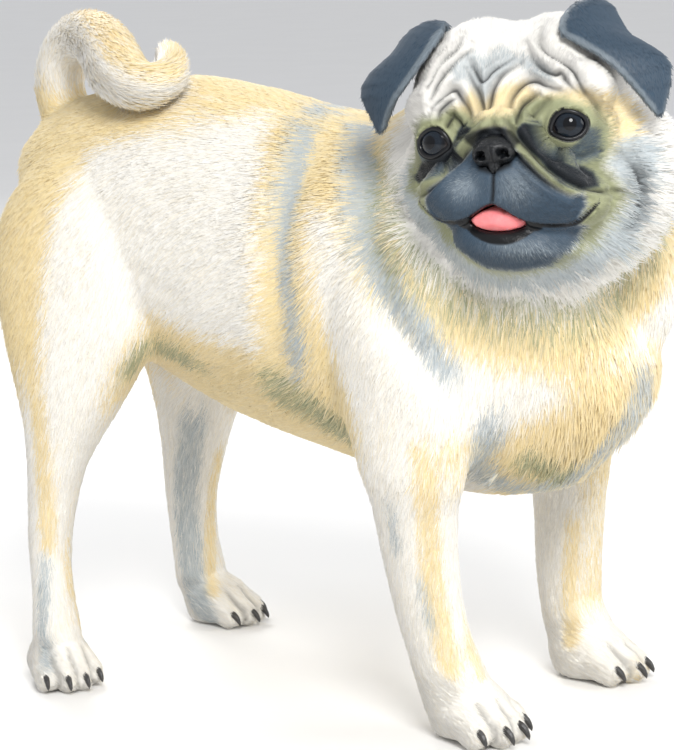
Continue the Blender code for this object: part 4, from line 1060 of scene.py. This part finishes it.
def coat_zone(name, where):
    """The coat of the skin where a vertex mask holds."""
    rng = np.random.default_rng(HAIR_SEED + len(bpy.data.objects))
    triangles = skin_triangles[where[skin_triangles[:, 0]]]
    corners, shares = rooted(triangles, skin_places, density, rng)
    roots = spread_over(skin_places, corners, shares)
    fields = {key: spread_over(values, corners, shares) for key, values in MARKINGS.items()
              if key not in ("tint", "along")}
    # Where two colours meet, hairs of both stand side by side.
    for key in ("warm", "grey", "smoke", "dark"):
        share = fields[key]
        fields[key] = np.clip(share + rng.normal(0, EDGE_MIXING, len(roots)) * share * (1 - share), 0, 1)
    sizes = [spread_over(values, corners, shares) for values in (length * MM, width * MM, lift)]
    # Hair is short where the skin sinks into a fold.
    sizes[0] = sizes[0] * (1 - 0.5 * fields["crease"])
    up = unit(spread_over(normals, corners, shares))
    ways = unit(spread_over(lie, corners, shares))
    # In ruff and fringes the hair gathers in locks: it leans to a lock's middle, longest there.
    in_lock = spread_over(locked, corners, shares)
    for root in np.flatnonzero(in_lock > 0.05):
        spot, _, away = lock_tree.find(roots[root])
        lean = np.array(spot) - roots[root]
        ways[root] += in_lock[root] * LOCK_LEAN * lean / sizes[0][root]
        gain = LOCK_LENGTHENED - LOCK_TAPER * min(away / LOCK_REACH, 1)
        sizes[0][root] *= 1 + in_lock[root] * gain
    ways = unit(ways - (ways * up).sum(axis=1)[:, None] * up)
    piece = grow_tufts(name, roots, up, ways, sizes, fields, rng)
    piece.data.materials.append(hair)
    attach(piece, "root")
    return piece


skin_places = places_of(skin)
skin_triangles = triangles_of(skin)
lock_density = (locked > 0.3) / LOCK_SPACING**2
lock_rng = np.random.default_rng(HAIR_SEED)
lock_corners, lock_shares = rooted(skin_triangles, skin_places, lock_density, lock_rng)
lock_places = spread_over(skin_places, lock_corners, lock_shares)
lock_tree = KDTree(len(lock_places))
for number, place in enumerate(lock_places):
    lock_tree.insert(place, number)
lock_tree.balance()
of_name = np.array(FLESH)[owner]
right_side = body[:, 0] < 0
ahead = body[:, 1] < -0.035
in_front = is_head & (local[:, 1] < -0.030)
coat_zone("coat_face", in_front)
coat_zone("coat_head", is_head & ~in_front)
coat_zone("coat_neck", of_name == "neck")
for side, here in (("right", right_side), ("left", ~right_side)):
    coat_zone(f"coat_shoulder_{side}", (of_name == "torso") & here & ahead)
    coat_zone(f"coat_flank_{side}", (of_name == "torso") & here & ~ahead)
    coat_zone(f"coat_foreleg_{side}", np.char.startswith(of_name, f"fore_{side}"))
    coat_zone(f"coat_hindleg_{side}", np.char.startswith(of_name, f"hind_{side}"))
coat_zone("coat_tail", is_tail)


# The ears
# Small thin flaps of skin that fold forward over the side of the skull, soft as velvet and black,
# paler along the front edge, with a faint painted highlight along every edge and a sparsely haired
# hollow beneath, painted black as shade.

EAR_VOXEL = 0.0007
EAR_HAIR = 3.0
EAR_HAIR_WIDTH = 0.42
EAR_HAIR_LIFT = 0.10
EAR_HAIR_DENSITY = 2.4
EAR_SKIN_DEPTH = 0.0003
EAR_RIM_EASING = 40
# The flap's front edge from the crown to the tip, in the head's frame, as in the solids.
EAR_FRONTS = {
    1: [(0.0262, -0.0190, 0.0492), (0.0272, -0.0322, 0.0410), (0.0373, -0.0335, 0.0338),
        (0.0492, -0.0330, 0.0232), (0.0618, -0.0270, 0.0035)],
    -1: [(-0.0300, -0.0200, 0.0490), (-0.0345, -0.0300, 0.0400), (-0.0428, -0.0335, 0.0302),
         (-0.0512, -0.0330, 0.0215), (-0.0586, -0.0270, 0.0120)],
}


for side_name, side in (("left", 1), ("right", -1)):
    node = f"ear_{side_name}"
    ear = copy_of_nodes(f"flap_{side_name}", [node])
    modified(ear, "REMESH", mode="VOXEL", voxel_size=EAR_VOXEL)
    modified(ear, "SMOOTH", factor=0.5, iterations=10)
    modified(ear, "TRIANGULATE")
    ear_normals = normals_of(ear)
    # Round the rim the normals turn, so their mean over a patch is short.
    ear_edges = rows_of(ear.data.edges, "vertices", 2, int)
    patch_mean = eased_over(ear_normals, ear_edges, EAR_RIM_EASING)
    rim = step(np.linalg.norm(patch_mean, axis=1), 0.88, 0.62)
    ear_local = in_head(places_of(ear))
    from_front, _ = line_distance(ear_local, smooth_line(EAR_FRONTS[side], LINE_POINTS))
    front_rim = step(from_front, 0.0038, 0.0026)
    outward = (ear_normals @ HEAD_AXES) @ unit(np.array((side * 0.75, -0.25, 0.60)))
    hollow = step(outward, 0.05, -0.35) * (1 - rim)
    move_to(ear, places_of(ear) - EAR_SKIN_DEPTH * ear_normals)
    none = np.zeros(len(ear_local))
    # Paler along the front edge, and lighter along every edge as a faint painted highlight.
    rim_and_highlight = np.maximum(0.34 * front_rim, 0.20 * rim)
    # Beneath the flap the hollow is laid black as painted shade.
    ear_marks = {"warm": none, "grey": none + 1, "smoke": none, "dark": 1 - rim_and_highlight,
                 "crease": 0.95 * hollow * (1 - front_rim), "wet": none}
    marked_with(ear, ear_marks | {"tint": none + 0.5, "along": none + 0.35})
    dressed(ear, hide)
    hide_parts(node)
    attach(ear, "root")

    rng = np.random.default_rng(HAIR_SEED + side)
    ear_places = places_of(ear)
    dense = EAR_HAIR_DENSITY * (1 - 0.6 * hollow)
    corners, shares = rooted(triangles_of(ear), ear_places, dense, rng)
    roots = spread_over(ear_places, corners, shares)
    up = unit(spread_over(ear_normals, corners, shares))
    # The hair runs from the root of the flap to its tip.
    ways = np.tile((side * 0.45, -0.35, -0.9) @ HEAD_AXES.T, (len(roots), 1))
    ways = unit(ways - (ways * up).sum(axis=1)[:, None] * up)
    sizes = [np.full(len(roots), size) for size in (EAR_HAIR * MM, EAR_HAIR_WIDTH * MM, EAR_HAIR_LIFT)]
    fields = {key: spread_over(values, corners, shares) for key, values in ear_marks.items()}
    velvet = grow_tufts(f"velvet_{side_name}", roots, up, ways, sizes, fields, rng)
    velvet.data.materials.append(hair)
    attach(velvet, "root")


# The eyes
# Large dark globes set in the front of the skull, the cornea domed and always wet. A museum's
# taxidermist sets them as cast glass: a near-black pupil in a dark iris, with no white in sight.

CORNEA_RADIUS = 0.0070
CORNEA_RISE = 0.0007
PUPIL_RADIUS = 0.0029
IRIS_RADIUS = 0.0066
# In metres, 0.7 mm: coarser than in life, so that the streaks show.
IRIS_STREAK = 1 / 1400

# Cast glass over paint: clear and glossy, IOR 1.376 as the wet cornea, iris finely streaked.
glass, tree, shader = new_material("wet_eye")
outward = add(tree, "ShaderNodeAttribute", output="Fac", attribute_name="out_from_pupil")
at = add(tree, "ShaderNodeTexCoord", output="Object")
streaks = add(tree, "ShaderNodeTexNoise", {"Vector": at, "Scale": 1 / IRIS_STREAK, "Detail": 3.0})
layers = {0: streaks, 6: linear("#080B0F"), 7: linear("#1D2732")}
iris = add(tree, "ShaderNodeMix", layers, output=2, data_type="RGBA")
colour = linear("#05060A")
# From the pupil outwards: the iris, its darker edge and the brown past it, each fading in from one
# radius to another.
for first, last, beyond in ((PUPIL_RADIUS * 0.92, PUPIL_RADIUS * 1.10, iris),
                            (IRIS_RADIUS * 0.80, IRIS_RADIUS, linear("#0B0C11")),
                            (IRIS_RADIUS * 1.05, IRIS_RADIUS * 1.22, linear("#2A2422"))):
    share = add(tree, "ShaderNodeMapRange", {0: outward, 1: first, 2: last})
    colour = add(tree, "ShaderNodeMix", {0: share, 6: colour, 7: beyond}, output=2, data_type="RGBA")
fill(tree, shader, {"Base Color": colour, "Roughness": 0.04, "IOR": 1.376})

for side_name, side in (("left", 1), ("right", -1)):
    bpy.ops.object.select_all(action="DESELECT")
    bpy.ops.mesh.primitive_uv_sphere_add(segments=96, ring_count=64, radius=EYE_RADIUS - 0.0001)
    eye = bpy.context.object
    eye.name = f"eyeball_{side_name}"
    gaze = gaze_axes(side)[0] @ HEAD_AXES.T
    ball = places_of(eye)
    off_gaze = EYE_RADIUS * np.arccos(np.clip(unit(ball) @ gaze, -1, 1))
    dome = CORNEA_RISE * step(off_gaze, CORNEA_RADIUS, 0)
    move_to(eye, ball + unit(ball) * dome[:, None] + from_head(eye_centre(side)[None])[0])
    marked_with(eye, {"out_from_pupil": off_gaze})
    dressed(eye, glass)
    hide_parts(f"eye_{side_name}")
    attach(eye, "root")


# The lids' margins
# The bare black edge of each lid, wet where it touches the eye: one round bead of skin, two
# millimetres thick and half sunk, along the opening.

MARGIN_RADIUS = 0.00100
MARGIN_LIFT = 0.00030
MARGIN_POINTS = 72
LID_PORE = 0.0004

# Bare lid skin: black, IOR 1.42, wet, with pores 0.4 mm apart.
wet_black, tree, shader = new_material("wet_lid_skin")
at = add(tree, "ShaderNodeTexCoord", output="Object")
pores = add(tree, "ShaderNodeTexNoise", {"Vector": at, "Scale": 1 / LID_PORE, "Detail": 3.0})
layers = {0: pores, 6: linear("#060607"), 7: linear("#1A1B1E")}
fill(tree, shader, {
    "Base Color": add(tree, "ShaderNodeMix", layers, output=2, data_type="RGBA"), "Roughness": 0.28,
    "Normal": add(tree, "ShaderNodeBump", {"Height": pores, "Strength": 0.25, "Distance": 0.0001}),
    "IOR": 1.42})

for side_name, side in (("left", 1), ("right", -1)):
    ahead, out, rise = gaze_axes(side)
    turns = np.linspace(0, 2 * math.pi, MARGIN_POINTS, endpoint=False)
    angle = opening_angle((turns + math.pi) % (2 * math.pi) - math.pi)[:, None]
    aside = np.cos(turns)[:, None] * out + np.sin(turns)[:, None] * rise
    way = np.cos(angle) * ahead + np.sin(angle) * aside
    path = from_head(eye_centre(side) + way * (EYE_RADIUS + MARGIN_LIFT))
    curve = bpy.data.curves.new(f"lid_margin_{side_name}", "CURVE")
    curve.dimensions = "3D"
    curve.bevel_depth = MARGIN_RADIUS
    curve.bevel_resolution = 4
    spline = curve.splines.new("POLY")
    spline.points.add(MARGIN_POINTS - 1)
    for point, place in zip(spline.points, path):
        point.co = (*place, 1)
    spline.use_cyclic_u = True
    margin = bpy.data.objects.new(f"lid_margin_{side_name}", curve)
    bpy.context.scene.collection.objects.link(margin)
    make_active(margin)
    bpy.ops.object.convert(target="MESH")
    dressed(margin, wet_black)
    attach(margin, "root")


# The nose
# The bare black pad at the front of the face, flush between the eyes: leather pebbled in small
# plates, moist, with comma-shaped nostrils and a groove down its middle to the lip.

NOSE_VOXEL = 0.00035
PEBBLE = 0.0011
NOSTRIL = {"x": 0.0052, "z": -0.0075, "depth": 0.0030, "reach": 0.0022}

# Nose leather: black, IOR 1.40, a wet sheen over plates 1 mm across.
leather, tree, shader = new_material("nose_leather")
at = add(tree, "ShaderNodeTexCoord", output="Object")
plates = add(tree, "ShaderNodeTexVoronoi", {"Vector": at, "Scale": 1 / PEBBLE}, output="Distance",
             feature="DISTANCE_TO_EDGE")
plates = add(tree, "ShaderNodeMapRange", {0: plates, 1: 0.0, 2: 0.22})
layers = {0: plates, 6: linear("#050607"), 7: linear("#14171B")}
fill(tree, shader, {
    "Base Color": add(tree, "ShaderNodeMix", layers, output=2, data_type="RGBA"), "Roughness": 0.38,
    "Normal": add(tree, "ShaderNodeBump", {"Height": plates, "Strength": 0.55, "Distance": 0.00025}),
    "IOR": 1.40, "Coat Weight": 0.15, "Coat Roughness": 0.16})

pad = copy_of_nodes("nose_pad", ["nose"])
modified(pad, "REMESH", mode="VOXEL", voxel_size=NOSE_VOXEL)
modified(pad, "SMOOTH", factor=0.5, iterations=14)
pad_local = in_head(places_of(pad))
# Each nostril is a comma that slants up outwards.
aside = np.abs(pad_local[:, 0]) - NOSTRIL["x"]
away = np.hypot(aside, 1.25 * (pad_local[:, 2] - NOSTRIL["z"] - 0.35 * aside))
pushed = NOSTRIL["depth"] * np.exp(-((away / NOSTRIL["reach"]) ** 4))
pushed += 0.0007 * np.exp(-((pad_local[:, 0] / 0.0006) ** 2)) * step(pad_local[:, 2], -0.002, -0.008)
pushed *= pad_local[:, 1] < -0.060
pad_local[:, 1] += pushed
move_to(pad, from_head(pad_local))
dressed(pad, leather)
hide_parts("nose")
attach(pad, "root")


# The tongue
# The tip of a flat pink tongue that lies between the parted lips, grooved along its middle, with
# the fine velvet of its papillae under a film of wet.

TONGUE_VOXEL = 0.0004
PAPILLA = 0.0006
BLOOD_PATCH = 1 / 260

# Wet mucous skin over muscle: IOR 1.40, pink where the blood shows through in patches 4 mm across,
# velvety with papillae 0.6 mm apart.
tissue, tree, shader = new_material("tongue_tissue")
at = add(tree, "ShaderNodeTexCoord", output="Object")
buds = add(tree, "ShaderNodeTexVoronoi", {"Vector": at, "Scale": 1 / PAPILLA}, output="Distance")
blood = add(tree, "ShaderNodeTexNoise", {"Vector": at, "Scale": 1 / BLOOD_PATCH, "Detail": 3.0})
layers = {0: blood, 6: linear("#F07A80"), 7: linear("#FF9A98")}
fill(tree, shader, {
    "Base Color": add(tree, "ShaderNodeMix", layers, output=2, data_type="RGBA"), "Roughness": 0.34,
    "Normal": add(tree, "ShaderNodeBump", {"Height": buds, "Strength": 0.35, "Distance": 0.0002}),
    "IOR": 1.40, "Subsurface Weight": 0.25, "Subsurface Radius": (0.0030, 0.0012, 0.0008),
    "Subsurface Scale": 1.0})

lick = copy_of_nodes("tongue_tip", ["tongue"])
modified(lick, "REMESH", mode="VOXEL", voxel_size=TONGUE_VOXEL)
modified(lick, "SMOOTH", factor=0.5, iterations=24)
lick_local = in_head(places_of(lick))
rise = (normals_of(lick) @ HEAD_AXES)[:, 2]
lick_local[:, 2] -= 0.0006 * np.exp(-((lick_local[:, 0] / 0.0011) ** 2)) * step(rise, 0.1, 0.6)
move_to(lick, from_head(lick_local))
dressed(lick, tissue)
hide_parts("tongue")
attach(lick, "root")


# The claws
# Four short curved claws to a foot, of black horn, worn blunt on the ground and smooth on top.

CLAW_VOXEL = 0.00022
HORN_LAYER = 1 / 900

# Claw horn: keratin, IOR 1.54, black with greyer growth layers 1.1 mm thick, worn smooth.
horn, tree, shader = new_material("claw_horn")
at = add(tree, "ShaderNodeTexCoord", output="Object")
growth = add(tree, "ShaderNodeTexNoise", {"Vector": at, "Scale": 1 / HORN_LAYER, "Detail": 4.0})
layers = {0: growth, 6: linear("#15171A"), 7: linear("#4A4744")}
fill(tree, shader, {
    "Base Color": add(tree, "ShaderNodeMix", layers, output=2, data_type="RGBA"), "Roughness": 0.38,
    "Normal": add(tree, "ShaderNodeBump", {"Height": growth, "Strength": 0.2, "Distance": 0.0002}),
    "IOR": 1.54})

for leg, _ in LEGS:
    nodes = [f"{leg}_claw_{toe}" for toe in (1, 2, 3, 4)]
    claws = copy_of_nodes(f"{leg}_claws", nodes)
    modified(claws, "REMESH", mode="VOXEL", voxel_size=CLAW_VOXEL)
    modified(claws, "SMOOTH", factor=0.5, iterations=6)
    dressed(claws, horn)
    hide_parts(*nodes)
    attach(claws, "root")


# The floor
# A plain pale studio floor.

plaster, tree, shader = new_material("pale_floor")
at = add(tree, "ShaderNodeTexCoord", output="Object")
mottle = add(tree, "ShaderNodeTexNoise", {"Vector": at, "Scale": 6.0, "Detail": 3.0})
layers = {0: mottle, 6: linear("#F1F0EE"), 7: linear("#F6F5F3")}
fill(tree, shader, {
    "Base Color": add(tree, "ShaderNodeMix", layers, output=2, data_type="RGBA"), "Roughness": 0.8})
bpy.ops.object.select_all(action="DESELECT")
bpy.ops.mesh.primitive_plane_add(size=30, location=(0, 0, 0))
floor = bpy.context.object
floor.name = "floor"
floor.data.materials.append(plaster)

# A wide soft key from the upper left of the view, a fill from the right and a light behind that
# picks out the coat's edge.
world = bpy.data.worlds.new("studio")
bpy.context.scene.world = world
world.use_nodes = True
world.node_tree.nodes["Background"].inputs["Color"].default_value = linear("#F4F6FA")
world.node_tree.nodes["Background"].inputs["Strength"].default_value = 0.72
LAMPS = {
    "key": ((-1.30, -1.10, 1.50), 0.8, 34),
    "fill": ((0.70, -1.60, 0.70), 1.2, 10),
    "back": ((0.90, 1.20, 1.30), 0.8, 13),
}
LAMP_TARGET = Vector((0, 0, 0.17))
for name, (place, size, power) in LAMPS.items():
    lamp = bpy.data.lights.new(name, "AREA")
    lamp.shape = "DISK"
    lamp.size = size
    lamp.energy = power
    holder = bpy.data.objects.new(name, lamp)
    bpy.context.scene.collection.objects.link(holder)
    facing = (LAMP_TARGET - Vector(place)).to_track_quat("-Z", "Y").to_matrix().to_4x4()
    facing.translation = Vector(place)
    holder.matrix_world = facing
bpy.context.scene.view_settings.view_transform = "Standard"

# The camera stands ahead of the dog's right shoulder, a little above its back.
VIEW = {"azimuth": -58.801, "elevation": 10.223, "roll": -1.071, "distance": 1.3, "focal": 2602.55}
VIEW_TARGET = Vector((0, -0.009274, 0.158437))
PICTURE_HEIGHT = 750
SENSOR_HEIGHT = 36
round_about, up_angle = math.radians(VIEW["azimuth"]), math.radians(VIEW["elevation"])
level = Vector((math.cos(round_about), math.sin(round_about), 0))
back = Vector((math.sin(round_about) * math.cos(up_angle),
               -math.cos(round_about) * math.cos(up_angle), math.sin(up_angle)))
upright = back.cross(level)
tilt = math.radians(VIEW["roll"])
across = math.cos(tilt) * level + math.sin(tilt) * upright
upward = -math.sin(tilt) * level + math.cos(tilt) * upright
stand = Matrix((across, upward, back)).transposed().to_4x4()
stand.translation = VIEW_TARGET + Vector(centring) + back * VIEW["distance"]
camera = bpy.data.objects.new("camera", bpy.data.cameras.new("camera"))
bpy.context.scene.collection.objects.link(camera)
camera.matrix_world = stand
camera.data.sensor_fit = "VERTICAL"
camera.data.sensor_height = SENSOR_HEIGHT
camera.data.lens = VIEW["focal"] / PICTURE_HEIGHT * SENSOR_HEIGHT
bpy.context.scene.camera = camera
